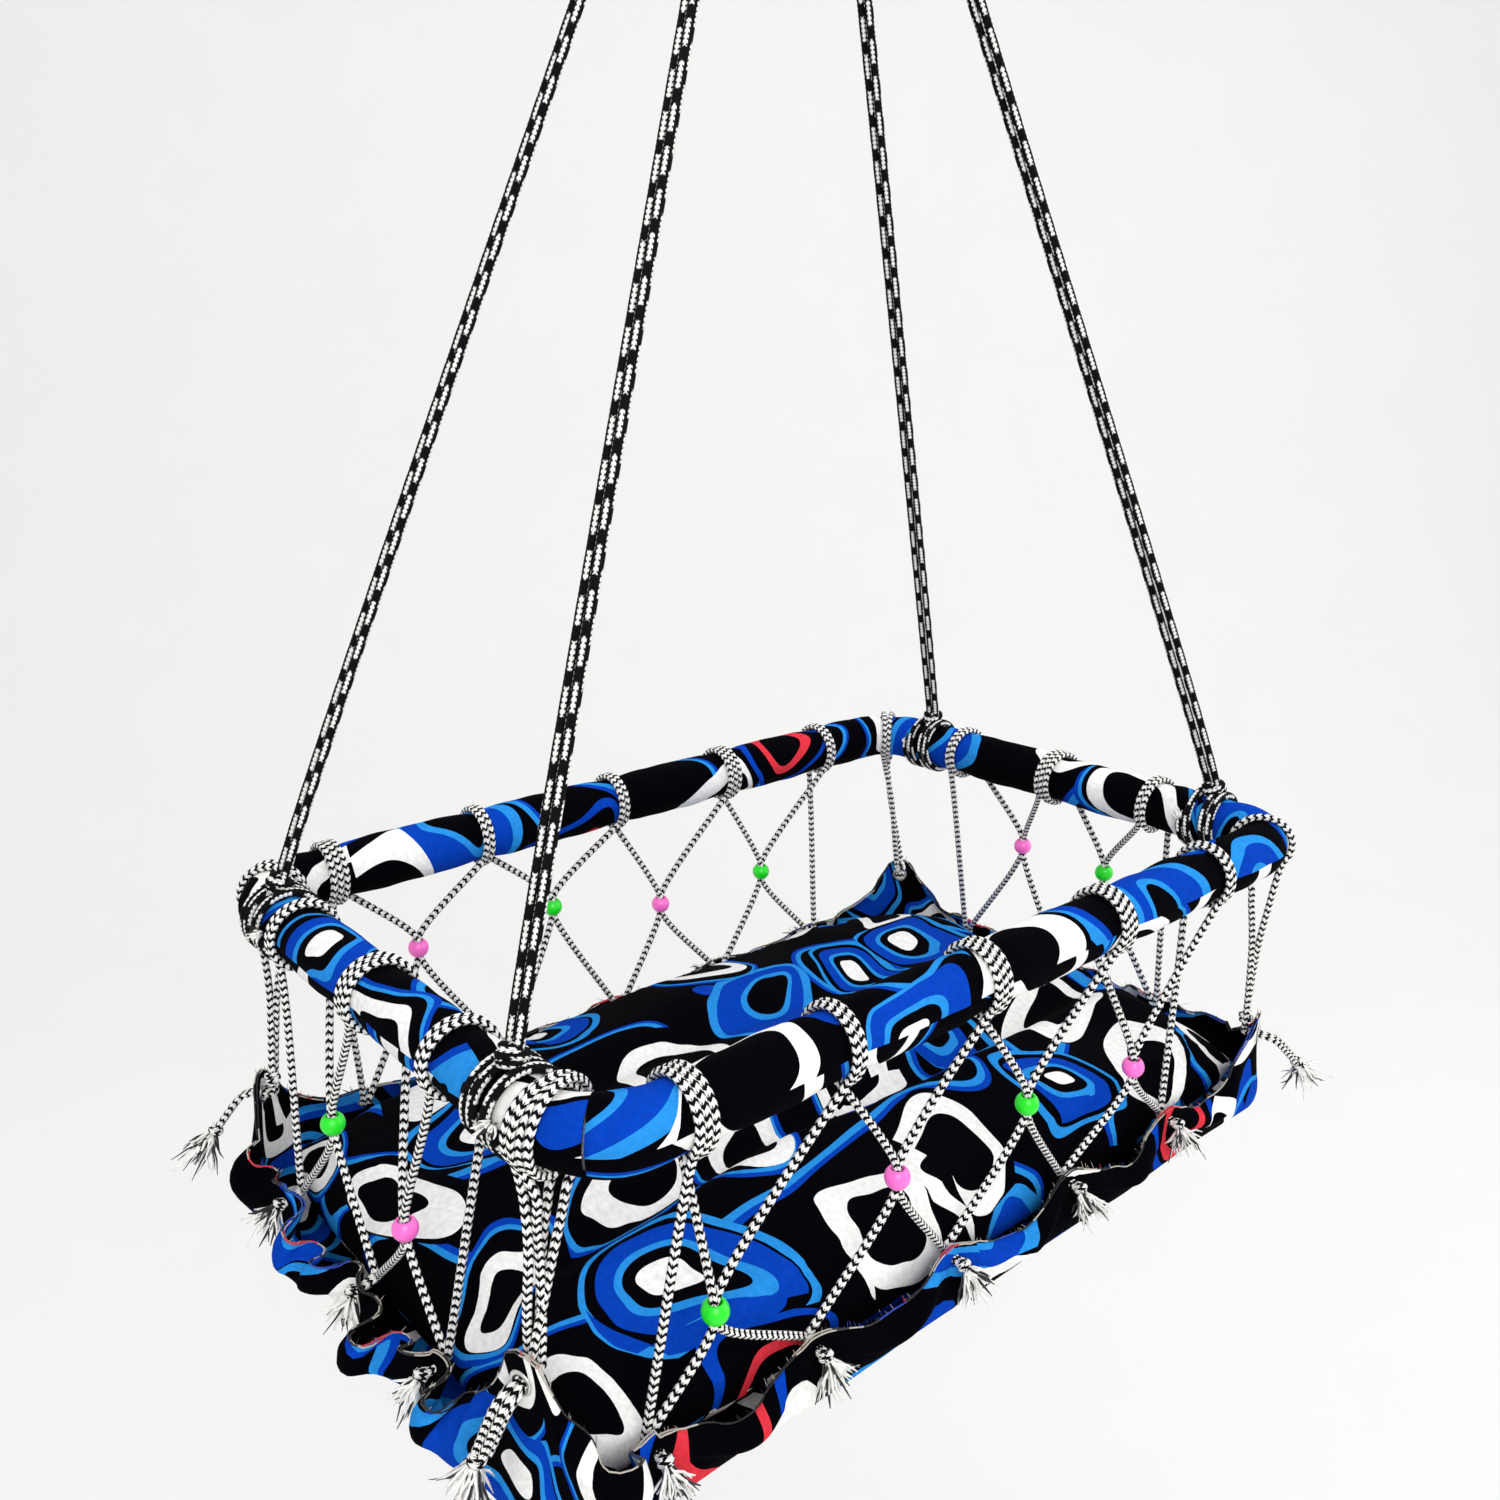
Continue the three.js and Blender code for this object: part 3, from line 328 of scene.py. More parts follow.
class Look:
    """Builds one material by short calls."""

    def __init__(self, name):
        self.material = bpy.data.materials.new(name)
        self.material.use_nodes = True
        self.nodes = self.material.node_tree.nodes
        self.links = self.material.node_tree.links
        self.shader = self.nodes["Principled BSDF"]

    def feed(self, socket, value):
        if isinstance(value, bpy.types.NodeSocket):
            self.links.new(value, socket)
        elif hasattr(value, "__len__") and len(value) == 3 and socket.type == "RGBA":
            socket.default_value = (*value, 1.0)
        else:
            socket.default_value = value

    def add(self, kind, settings=None, **inputs):
        node = self.nodes.new(kind)
        for key, value in (settings or {}).items():
            setattr(node, key, value)
        for key, value in inputs.items():
            self.feed(node.inputs[key.replace("_", " ")], value)
        return node

    def flat_noise(self, place, scale, detail):
        """Noise over two dimensions, for the map of a cloth or a cord."""
        settings = {"noise_dimensions": "2D"}
        return self.add("ShaderNodeTexNoise", settings, Vector=place, Scale=scale, Detail=detail)

    def solid_noise(self, scale, detail):
        """Noise through the object's own space."""
        place = self.add("ShaderNodeTexCoord").outputs["Object"]
        return self.add("ShaderNodeTexNoise", Vector=place, Scale=scale, Detail=detail)

    def maths(self, operation, *values):
        node = self.nodes.new("ShaderNodeMath")
        node.operation = operation
        for socket, value in zip(node.inputs, values):
            self.feed(socket, value)
        return node.outputs[0]

    def vector(self, operation, *values, scale=None):
        node = self.nodes.new("ShaderNodeVectorMath")
        node.operation = operation
        for socket, value in zip(node.inputs, values):
            self.feed(socket, value)
        if scale is not None:
            self.feed(node.inputs["Scale"], scale)
        return node.outputs["Vector"]

    def blend(self, share, first, second):
        node = self.nodes.new("ShaderNodeMix")
        node.data_type = "RGBA"
        for socket, value in ((node.inputs[0], share), (node.inputs[6], first), (node.inputs[7], second)):
            self.feed(socket, value)
        return node.outputs[2]

    def shaded(self, colour, share, swing, least):
        """A colour that grows lighter with a share, from least by up to swing."""
        return self.vector("SCALE", colour, scale=self.maths("MULTIPLY_ADD", share, swing, least))

    def cloth_map(self):
        return self.add("ShaderNodeUVMap", {"uv_map": "cloth"}).outputs["UV"]

    def parts(self, place):
        """The three numbers of a place."""
        return self.add("ShaderNodeSeparateXYZ", Vector=place).outputs

    def bands(self, value, stops, dyes):
        """Flat bands of colour: each stop is where a dye starts."""
        ramp = self.nodes.new("ShaderNodeValToRGB")
        ramp.color_ramp.interpolation = "CONSTANT"
        elements = ramp.color_ramp.elements
        while len(elements) < len(stops):
            elements.new(0.5)
        while len(elements) > len(stops):
            elements.remove(elements[-1])
        for element, (start, dye) in zip(elements, stops):
            element.position = start
            element.color = (*dyes[dye], 1.0)
        self.feed(ramp.inputs[0], value)
        return ramp.outputs[0]

    def bump(self, height, strength, distance):
        node = self.add("ShaderNodeBump", Height=height, Strength=strength, Distance=distance)
        self.links.new(node.outputs[0], self.shader.inputs["Normal"])

    def finish(self, colour, **inputs):
        self.feed(self.shader.inputs["Base Color"], colour)
        for key, value in inputs.items():
            self.feed(self.shader.inputs[key.replace("_", " ")], value)
        return self.material


THREAD_PITCH = 0.0011
# Where each dye of the print's ground starts
GROUND_BANDS = (
    (0.0, "black"), (0.3, "azure"), (0.325, "blue"), (0.345, "black"),
    (0.62, "blue"), (0.642, "azure"), (0.668, "black"),
)
# The print's motifs: the share of cells that keep the motif before it, how far out it reaches, and its dyes
# from the middle outwards, first round the heart and then in the heart, which ends at its last number
MOTIFS = (
    (0.0, 0.47, ((0.0, "black"),),
     ((0.0, "black"), (0.25, "white"), (0.4, "black"))),
    (0.3, 0.47, ((0.0, "black"), (0.4, "azure"), (0.43, "blue")),
     ((0.0, "black"), (0.2, "white"), (0.325, "black"))),
    (0.5, 0.46, ((0.0, "black"), (0.41, "azure")),
     ((0.0, "white"), (0.11, "black"), (0.19, "azure"), (0.235, "blue"), (0.36, "black"))),
    (0.68, 0.44, ((0.0, "blue"), (0.36, "azure")),
     ((0.0, "black"), (0.16, "azure"), (0.2, "blue"), (0.3, "azure"))),
    (0.82, 0.44, ((0.0, "black"),),
     ((0.0, "blue"), (0.12, "black"), (0.17, "white"), (0.31, "black"))),
    (0.9, 0.42, ((0.0, "black"), (0.36, "blue")),
     ((0.0, "black"), (0.17, "red"), (0.25, "black"))),
)


def print_dyes():
    """The print's colours by name."""
    names = ("black", "blue", "azure", "white", "red")
    return {name: tuple(getattr(colours(), f"print_{name}")) for name in names}


def printed_cloth(name, shift):
    """Cotton printed with nested rounded squares on a black ground."""
    look = Look(name)
    cloth = look.cloth_map()
    dye = look.flat_noise(cloth, 260.0, 4.0)
    colour = look.shaded(print_colour(look, cloth, shift), dye.outputs["Fac"], 0.4, 0.82)
    weave = look.parts(look.vector("SCALE", cloth, scale=2 * math.pi / THREAD_PITCH))
    threads = look.maths("MULTIPLY", look.maths("SINE", weave[0]), look.maths("SINE", weave[1]))
    creases = look.flat_noise(cloth, 48.0, 3.0)
    height = look.maths("MULTIPLY_ADD", creases.outputs["Fac"], 7.0, threads)
    look.bump(height, strength=0.35, distance=0.00025)
    return look.finish(colour, Roughness=0.92, Specular_IOR_Level=0.02)


def print_colour(look, cloth, shift):
    """The print's dyes: a motif in each cell of a loose grid, on a ground with winding bands."""
    dyes = print_dyes()
    place = look.vector("SCALE", cloth, scale=1 / sizes().motif_pitch)
    place = look.vector("ADD", place, shift)
    drift = look.flat_noise(place, 0.9, 0.0)
    drift = look.vector("SUBTRACT", drift.outputs["Color"], MIDDLE_GREY)
    place = look.vector("ADD", place, look.vector("SCALE", drift, scale=0.6))
    river = look.flat_noise(place, 0.75, 0.0)
    ground = look.bands(river.outputs["Fac"], GROUND_BANDS, dyes)

    cells = look.add(
        "ShaderNodeTexVoronoi", {"voronoi_dimensions": "2D"}, Vector=place, Scale=1.0, Randomness=0.55
    )
    centre = cells.outputs["Position"]
    tilt, choice, stretch = look.add("ShaderNodeSeparateColor", Color=cells.outputs["Color"]).outputs
    angle = look.maths("MULTIPLY", look.maths("SUBTRACT", tilt, 0.5), 1.5)
    away = look.vector("SUBTRACT", place, centre)
    turn = look.add("ShaderNodeVectorRotate", {"rotation_type": "Z_AXIS"}, Vector=away, Angle=angle)
    turned = turn.outputs[0]
    edge = look.flat_noise(place, 2.6, 1.0)
    wander = look.maths("MULTIPLY", look.maths("SUBTRACT", edge.outputs["Fac"], 0.5), 0.09)
    slip = look.add("ShaderNodeTexWhiteNoise", {"noise_dimensions": "2D"}, Vector=centre)
    slip = look.vector("SUBTRACT", slip.outputs["Color"], MIDDLE_GREY)
    outer = rounded_square(look, turned, stretch, wander)
    slipped = look.vector("ADD", turned, look.vector("SCALE", slip, scale=0.2))
    inner = rounded_square(look, slipped, stretch, wander)

    colour = ground
    for kept_share, reach, halo, heart in MOTIFS:
        motif = look.blend(look.maths("LESS_THAN", outer, reach), ground, look.bands(outer, halo, dyes))
        heart_end = heart[-1][0]
        motif = look.blend(look.maths("LESS_THAN", inner, heart_end), motif, look.bands(inner, heart, dyes))
        colour = look.blend(look.maths("GREATER_THAN", choice, kept_share), colour, motif)
    return colour


def rounded_square(look, place, stretch, wander, squareness=3.4):
    """How far out a point lies in a rounded square, 1 at one motif pitch from its middle."""
    wide, tall, _ = look.parts(place)
    wide = look.maths("MULTIPLY", wide, look.maths("MULTIPLY_ADD", stretch, 0.5, 0.9))
    across = look.maths("POWER", look.maths("ABSOLUTE", wide), squareness)
    along = look.maths("POWER", look.maths("ABSOLUTE", tall), squareness)
    reach = look.maths("POWER", look.maths("ADD", across, along), 1 / squareness)
    return look.maths("ADD", reach, wander)


class Braid:
    """Shared parts of braided cords: rounded columns round the cord, and the run along it."""

    def __init__(self, name):
        self.look = look = Look(name)
        cloth = look.cloth_map()
        around, self.run, _ = look.parts(cloth)
        column = look.maths("MULTIPLY", around, 4.0)
        self.parity = look.maths("MODULO", look.maths("FLOOR", column), 2.0)
        self.middle = look.maths("ABSOLUTE", look.maths("SUBTRACT", look.maths("FRACT", column), 0.5))
        self.mottle = look.flat_noise(cloth, 170.0, 2.0).outputs["Fac"]

    def beat(self, pitch, slant, offset, wander):
        """Rises from 0 to 1 over each stitch along the cord. offset shifts every other column."""
        look = self.look
        run = look.maths("DIVIDE", self.run, pitch)
        run = look.maths("MULTIPLY_ADD", self.middle, slant, run)
        run = look.maths("MULTIPLY_ADD", self.parity, offset, run)
        return look.maths("FRACT", look.maths("MULTIPLY_ADD", self.mottle, wander, run))

    def finish(self, marked, stitch, ground, mark):
        look = self.look
        colour = look.shaded(look.blend(marked, ground, mark), self.mottle, 0.4, 0.8)
        hollow = look.maths("MULTIPLY", look.maths("MULTIPLY", self.middle, self.middle), 4.0)
        dome = look.maths("SUBTRACT", 1.0, hollow)
        ridge = look.maths("SINE", look.maths("MULTIPLY", stitch, math.pi))
        look.bump(look.maths("MULTIPLY_ADD", ridge, 0.7, dome), strength=0.8, distance=0.0006)
        return look.finish(colour, Roughness=0.88, Specular_IOR_Level=0.08)


def cord_look():
    """Off-white cord with a black bar at each stitch, shared by the nets and the corners."""
    known = bpy.data.materials.get("net_cord")
    if known:
        return known
    c = colours()
    braid = Braid("net_cord")
    look = braid.look
    beat = braid.beat(pitch=0.0051, slant=0.75, offset=0.0, wander=0.1)
    bar = look.maths("LESS_THAN", beat, 0.42)
    seam = look.maths("GREATER_THAN", braid.middle, 0.43)
    marked = look.maths("MAXIMUM", bar, look.maths("MULTIPLY", seam, look.maths("LESS_THAN", beat, 0.7)))
    return braid.finish(marked, beat, tuple(c.cord_white), tuple(c.cord_black))


def rope_look():
    """Black rope with rows of broken white dashes."""
    c = colours()
    braid = Braid("hanging_rope")
    look = braid.look
    beat = braid.beat(pitch=0.0225, slant=0.1, offset=0.5, wander=0.1)
    fine = braid.beat(pitch=0.0029, slant=1.0, offset=0.5, wander=0.3)
    teeth = look.maths("MULTIPLY_ADD", look.maths("GREATER_THAN", fine, 0.4), 0.17, 0.13)
    dash = look.maths("LESS_THAN", beat, 0.64)
    marked = look.maths("MULTIPLY", dash, look.maths("LESS_THAN", braid.middle, teeth))
    return braid.finish(marked, fine, tuple(c.cord_black), tuple(c.cord_white))


def frayed_yarn(name):
    """Loose yarn ends: most are off-white and some are black."""
    c = colours()
    look = Look(name)
    cloth = look.cloth_map()
    fibre = look.flat_noise(cloth, 220.0, 3.0).outputs["Fac"]
    dark = look.maths("GREATER_THAN", look.parts(cloth)[0], 0.66)
    colour = look.shaded(look.blend(dark, tuple(c.cord_white), tuple(c.cord_black)), fibre, 0.5, 0.78)
    look.bump(fibre, strength=0.5, distance=0.0003)
    return look.finish(colour, Roughness=0.9, Sheen_Weight=0.2, Sheen_Roughness=0.5)


RAW_EDGE_BANDS = ((0.0, "red"), (0.37, "cream"), (0.48, "black"), (0.62, "blue"))
RAW_CREAM = (0.5, 0.45, 0.38)


def raw_edge_look():
    """The cut edge of the cloth: cream, with stretches of black, blue and red."""
    look = Look("raw_edge")
    cloth = look.cloth_map()
    place = look.add("ShaderNodeCombineXYZ", X=look.parts(cloth)[1]).outputs[0]
    run = look.flat_noise(place, 17.0, 2.0)
    fibre = look.flat_noise(cloth, 400.0, 2.0).outputs["Fac"]
    colour = look.bands(run.outputs["Fac"], RAW_EDGE_BANDS, {**print_dyes(), "cream": RAW_CREAM})
    look.bump(fibre, strength=0.6, distance=0.0003)
    colour = look.shaded(colour, fibre, 0.7, 0.65)
    return look.finish(colour, Roughness=0.92, Sheen_Weight=0.15, Sheen_Roughness=0.5)


def bead_plastic(name, tint):
    """Moulded satin plastic with faint flow marks and scuffs."""
    look = Look(name)
    flow = look.solid_noise(140.0, 3.0).outputs["Fac"]
    scuffs = look.solid_noise(900.0, 2.0).outputs["Fac"]
    rough = look.maths("MULTIPLY_ADD", scuffs, 0.2, 0.26)
    look.bump(flow, strength=0.15, distance=0.0004)
    colour = look.shaded(tint, flow, 0.16, 0.92)
    return look.finish(colour, Roughness=rough, Coat_Weight=0.15, Coat_Roughness=0.2, IOR=1.5)


def metal(name, tint, roughness, scratch_scale):
    """Metal with fine scratches and a little tarnish."""
    look = Look(name)
    tarnish = look.solid_noise(55.0, 4.0).outputs["Fac"]
    scratches = look.solid_noise(scratch_scale, 2.0).outputs["Fac"]
    rough = look.maths("MULTIPLY_ADD", tarnish, 0.18, roughness)
    look.bump(scratches, strength=0.12, distance=0.0002)
    return look.finish(look.shaded(tint, tarnish, 0.3, 0.82), Roughness=rough, Metallic=1.0)


def foam_look():
    """Closed-cell foam with small pores."""
    look = Look("rail_foam_cells")
    place = look.add("ShaderNodeTexCoord").outputs["Object"]
    pores = look.add("ShaderNodeTexVoronoi", Vector=place, Scale=900.0)
    depth = look.maths("MINIMUM", pores.outputs["Distance"], 1.0)
    colour = look.blend(depth, (0.42, 0.45, 0.48), (0.2, 0.22, 0.24))
    look.bump(depth, strength=0.5, distance=0.0006)
    return look.finish(colour, Roughness=0.93)


# The hoop, its corners and its nets

WRAP_LOW = 0.11 * 2 * math.pi
WRAP_STEPS = 26
WRAP_PITCH_SHARE = 0.9
CORD_STEP = 0.0028
LASHING_FROM_CORNER = 0.058


def side_matrix(side):
    s = sizes()
    distance = s.hoop_width / 2 if side in LONG_SIDES else s.hoop_length / 2
    turn = Matrix.Rotation(SIDE_TURNS[side], 4, "Z")
    return HOOP_FRAME @ turn @ Matrix.Translation((0, -distance, 0))


def turn_radius(thickness):
    return sizes().rail_radius + CLEARANCE + thickness / 2


def corners_of(side):
    """The corners before and after a side, seen from above and against the clock."""
    i = SIDES.index(side)
    return CORNERS[(i + 1) % 4], CORNERS[(i + 2) % 4]


def corner_place(corner, degrees, distance):
    """A point on the hoop's rounded corner, at an angle from the short side, in the hoop's frame."""
    s = sizes()
    angle = math.radians(degrees)
    return Vector((
        corner.sign_x * (s.hoop_length / 2 - s.corner_radius + distance * math.cos(angle)),
        corner.sign_y * (s.hoop_width / 2 - s.corner_radius + distance * math.sin(angle)),
        0,
    ))


def lashing_place(corner):
    """The middle of a rope's lashing on the short rail, in the hoop's frame."""
    s = sizes()
    from_middle = s.hoop_width / 2 - LASHING_FROM_CORNER
    return Vector((corner.sign_x * s.hoop_length / 2, corner.sign_y * from_middle, 0))


def eyelet_place(corner):
    """An eyelet's middle in the hoop's frame and the way that it faces."""
    low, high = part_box(f"eyelet_{corner.name}")
    tip = math.radians(corner.tip)
    facing = Vector((corner.sign_x * math.cos(tip), corner.sign_y * math.sin(tip), 0))
    return (low + high) / 2 - Vector((0, 0, PLANE_Z)), facing


def net_layout(side):
    """The windings' places, the ties' holes, the beads and the extra turns of one side, in its own frame."""
    s = sizes()
    long = side in LONG_SIDES
    mirrored = side in ("back", "right")
    rail_span, bed_span = (s.hoop_length, s.bed_length) if long else (s.hoop_width, s.bed_width)
    overhang = ((s.bed_width - s.hoop_width) if long else (s.bed_length - s.hoop_length)) / 2

    def in_order(values):
        return [1 - v for v in reversed(values)] if mirrored else list(values)

    wraps = [(share - 0.5) * rail_span for share in in_order(WRAP_SHARES[side])]
    ties = in_order(TIE_SHARES[side])
    holes = [Vector(((share - 0.5) * bed_span, -overhang, -s.net_drop)) for share in ties]
    turns = EXTRA_TURNS[side][::-1] if mirrored else EXTRA_TURNS[side]
    back = side_matrix(side).inverted()
    beads = []
    for i in range(1, len(wraps)):
        low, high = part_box(f"bead_{side}_{i}")
        beads.append(back @ ((low + high) / 2))
    return wraps, holes, beads, turns


def turn_angles(extra):
    """Angles round a rail from low on its outer side to low on its inner side, and so many turns more, each
    with its place in turns from the middle of them all."""
    start, end = -WRAP_LOW, math.pi + WRAP_LOW + extra * 2 * math.pi
    count = round((end - start) / (2 * math.pi) * WRAP_STEPS)
    angles = [start + (end - start) * i / count for i in range(count + 1)]
    return [(angle, (angle - (start + end) / 2) / (2 * math.pi)) for angle in angles]


def wrap_points(centre_x, radius, pitch, extra):
    """Turns round a rail along X whose outer side faces -Y."""
    return [Vector((centre_x + pitch * turn, -radius * math.cos(angle), radius * math.sin(angle)))
            for angle, turn in turn_angles(extra)]


def lay_cord(before, wound, after, hanging, windings):
    """One cord in three stretches: its middle is wound round a rail and its two ends hang."""
    route, marks = soft_curve(before + wound + after, CORD_STEP)
    first, last = marks[len(before)], marks[len(before) + len(wound) - 1]
    thick = sizes().cord_thickness / 2
    split = hanging.tube(route[:first + 1], thick)
    split = windings.tube(route[first:last + 1], thick, start=split)
    hanging.tube(route[last:], thick, start=split)


# Where a tie starts inside the cloth and above its hole, half the gap between two cords that lie together,
# and how far from a bead they bend
TIE_REACH = 0.008
TIE_RISE = 0.003
CORD_SHIFT = 0.0012
BEAD_LEAD = 0.0015


def net_lead(holes, beads, index, direction):
    """Points from a winding through its bead to the cloth at a tie."""
    bead_index = index - 1 if direction < 0 else index
    has_bead = 0 <= bead_index < len(beads)
    hole = holes[index + direction] if has_bead else holes[index]
    points = []
    if has_bead:
        bead = beads[bead_index]
        half = sizes().bead_width / 2 + BEAD_LEAD
        points.append(bead + Vector((-direction * CORD_SHIFT, 0, half)))
        points.append(bead + Vector((direction * CORD_SHIFT, 0, -half)))
    aside = (-direction if has_bead else direction) * CORD_SHIFT
    points.append(hole + Vector((aside, TIE_REACH, TIE_RISE)))
    return points


# Tassels: how many yarn ends, their length and how far they fan out
ROPE_FRAY = {"count": 16, "length": 0.01, "spread": 0.7}
NET_TASSEL = {"count": 60, "length": 0.0185, "spread": 1.15}
CORNER_TASSEL = {"length": 0.024, "spread": 0.9}
TASSEL_ROOT = 0.0026
YARN_WIDTHS = (0.0007, 0.0013)
YARN_TAPER = (1.2, 1.0, 1.0, 0.8, 0.3)

# Knots: the radius, number and rise of their turns, and the cord's thickness where it is drawn tight
ROPE_KNOT = {"radius": 0.0062, "turns": 2.6, "rise": 0.0095}
TIE_KNOT = {"radius": 0.0026, "turns": 1.8, "rise": 0.004, "thickness": 0.0044}
TIE_CROSSING = {"radius": 0.0022, "turns": 1.3, "rise": 0.004, "thickness": 0.0042}
INNER_KNOT = {"radius": 0.0034, "turns": 1.8, "rise": 0.007, "thickness": 0.0044}
END_KNOT = {"radius": 0.003, "turns": 1.8, "rise": 0.006, "thickness": 0.0042}
KNOT_STEPS = 14


def tassel(fabric, root, way, count, length, spread, seed):
    """Loose yarn ends that fan out from a root, curl and droop."""
    dice = random.Random(seed)
    side_way = way.orthogonal().normalized()
    cross_way = way.cross(side_way)
    for _ in range(count):
        angle = dice.uniform(0, 2 * math.pi)
        lean = dice.uniform(0.05, 1.0) * spread
        outward = side_way * math.cos(angle) + cross_way * math.sin(angle)
        heading = (way + outward * lean).normalized()
        reach = length * dice.uniform(0.5, 1.05)
        start = root + outward * dice.uniform(0.0, TASSEL_ROOT)
        curl = Vector((dice.uniform(-1, 1), dice.uniform(-1, 1), dice.uniform(-1.1, 0.4))) * reach * 0.35
        kink = any_way(dice) * reach * 0.07
        points = [start + heading * (reach * t) + curl * t * t + kink * math.sin(7 * t)
                  for t in (0.0, 0.2, 0.45, 0.7, 1.0)]
        width = dice.uniform(*YARN_WIDTHS)
        column = dice.random()
        base = len(fabric.maps)
        fabric.tube(points, [width * share for share in YARN_TAPER], sides=3)
        for i in range(base, len(fabric.maps)):
            fabric.maps[i] = [(column, v) for _, v in fabric.maps[i]]


def knot_turns(fabric, centre, axis, radius, turns, rise, thickness):
    """A few tight turns of cord round an axis, as on a knot."""
    axis = axis.normalized()
    side_way = axis.orthogonal().normalized()
    cross_way = axis.cross(side_way)
    count = round(turns * KNOT_STEPS)
    points = []
    for i in range(count + 1):
        angle = 2 * math.pi * turns * i / count
        tuck = min(1.0, 3.0 * min(i, count - i) / count + 0.45)
        place = centre + axis * (rise * (i / count - 0.5))
        points.append(place + (side_way * math.cos(angle) + cross_way * math.sin(angle)) * radius * tuck)
    fabric.tube(points, thickness / 2)


# The stage

class CRADLE_OT_stage(bpy.types.Operator):
    """Floor, backdrop, lamps and camera."""

    bl_idname = "cradle.stage"
    bl_label = "Stage"

    def execute(self, context):
        add_backdrop()
        add_lamps(context.scene)
        add_camera(context.scene)
        return {"FINISHED"}


FLOOR_DROP = 1.75
BACKDROP_NEAR = -3.2
BACKDROP_FAR = 2.6
BACKDROP_HIGH = 2.2
BACKDROP_HALF = 5.0
BACKDROP_CURVE = 1.1
BACKDROP_STEPS = 16

ROOM_LIGHT = ((0.93, 0.96, 1.0, 1.0), 0.7)
ROOM_SEEN = ((0.86, 0.855, 0.84, 1.0), 1.0)
# Lamps: name, place, size and power. Each points at the middle of the hoop.
LAMPS = (
    ("key", (-1.3, -2.0, 0.5), 1.6, 46.0),
    ("fill", (1.9, -1.2, -0.2), 2.0, 18.0),
    ("top", (0.5, 0.3, 1.4), 2.0, 22.0),
)

CAMERA_PLACE = Vector((-0.574, -0.632, PLANE_Z + 0.334))
CAMERA_YAW = 40.36
CAMERA_PITCH = 16.32
CAMERA_ROLL = -0.38
FOCAL_PIXELS = 1303
PHOTO_PIXELS = 1500
SENSOR_WIDTH_MM = 36.0
NEAREST_SEEN = 0.01


def seen_directly(tree):
    """1 for rays from the camera and for those by way of gloss or glass, 0 for light on the object."""
    paths = tree.nodes.new("ShaderNodeLightPath").outputs
    seen = paths["Is Camera Ray"]
    for kind in ("Is Glossy Ray", "Is Transmission Ray"):
        either = tree.nodes.new("ShaderNodeMath")
        either.operation = "MAXIMUM"
        tree.links.new(seen, either.inputs[0])
        tree.links.new(paths[kind], either.inputs[1])
        seen = either.outputs[0]
    return seen


def mix_shaders(tree, share, first, second, end):
    """Feeds an output node with a mix of two shaders."""
    mixer = tree.nodes.new("ShaderNodeMixShader")
    for socket, source in zip(mixer.inputs, (share, first.outputs[0], second.outputs[0])):
        tree.links.new(source, socket)
    tree.links.new(mixer.outputs[0], tree.nodes[end].inputs["Surface"])


def add_backdrop():
    """A plain pale floor that curves up into a wall behind the cradle."""
    bend = arc(BACKDROP_CURVE, -math.pi / 2, 0, BACKDROP_STEPS)
    profile = [(BACKDROP_FAR - BACKDROP_CURVE + y, BACKDROP_CURVE + z) for y, z in bend]
    profile = [(BACKDROP_NEAR, 0), *profile, (BACKDROP_FAR, BACKDROP_HIGH)]
    bm = bmesh.new()
    line = [bm.verts.new((-BACKDROP_HALF, y, z)) for y, z in profile]
    edges = [bm.edges.new(pair) for pair in zip(line, line[1:])]
    wide = bmesh.ops.extrude_edge_only(bm, edges=edges)
    moved = [g for g in wide["geom"] if isinstance(g, bmesh.types.BMVert)]
    bmesh.ops.translate(bm, verts=moved, vec=(2 * BACKDROP_HALF, 0, 0))
    turn = Matrix.Rotation(-math.radians(CAMERA_YAW), 4, "Z")
    bmesh.ops.transform(bm, matrix=Matrix.Translation((0, 0, -FLOOR_DROP)) @ turn, verts=bm.verts)
    bmesh.ops.recalc_face_normals(bm, faces=bm.faces)
    backdrop = piece_from(bm, "backdrop")
    look = Look("backdrop_cloth")
    mottle = look.solid_noise(6.0, 4.0)
    look.finish(look.blend(mottle.outputs["Fac"], (0.84, 0.835, 0.82), (0.9, 0.895, 0.88)), Roughness=0.95)
    glow = look.add("ShaderNodeEmission", Color=(0.9, 0.89, 0.865), Strength=1.0)
    tree = look.material.node_tree
    share = look.maths("MULTIPLY", seen_directly(tree), 0.55)
    mix_shaders(tree, share, look.shader, glow, "Material Output")
    backdrop.data.materials.append(look.material)


def add_lamps(scene):
    """Plain soft studio light, and a pale room to see behind the cradle."""
    scene.world = bpy.data.worlds.new("soft_room")
    scene.world.use_nodes = True
    tree = scene.world.node_tree
    light = tree.nodes["Background"]
    pale = tree.nodes.new("ShaderNodeBackground")
    for node, (colour, strength) in ((light, ROOM_LIGHT), (pale, ROOM_SEEN)):
        node.inputs["Color"].default_value = colour
        node.inputs["Strength"].default_value = strength
    mix_shaders(tree, seen_directly(tree), light, pale, "World Output")
    target = Vector((0, 0, PLANE_Z))
    for name, place, size, power in LAMPS:
        lamp = bpy.data.lights.new(name, "AREA")
        lamp.size = size
        lamp.energy = power
        thing = add_thing(name, lamp)
        thing.location = place
        thing.rotation_euler = (target - Vector(place)).to_track_quat("-Z", "Y").to_euler()
    scene.view_settings.view_transform = "Standard"


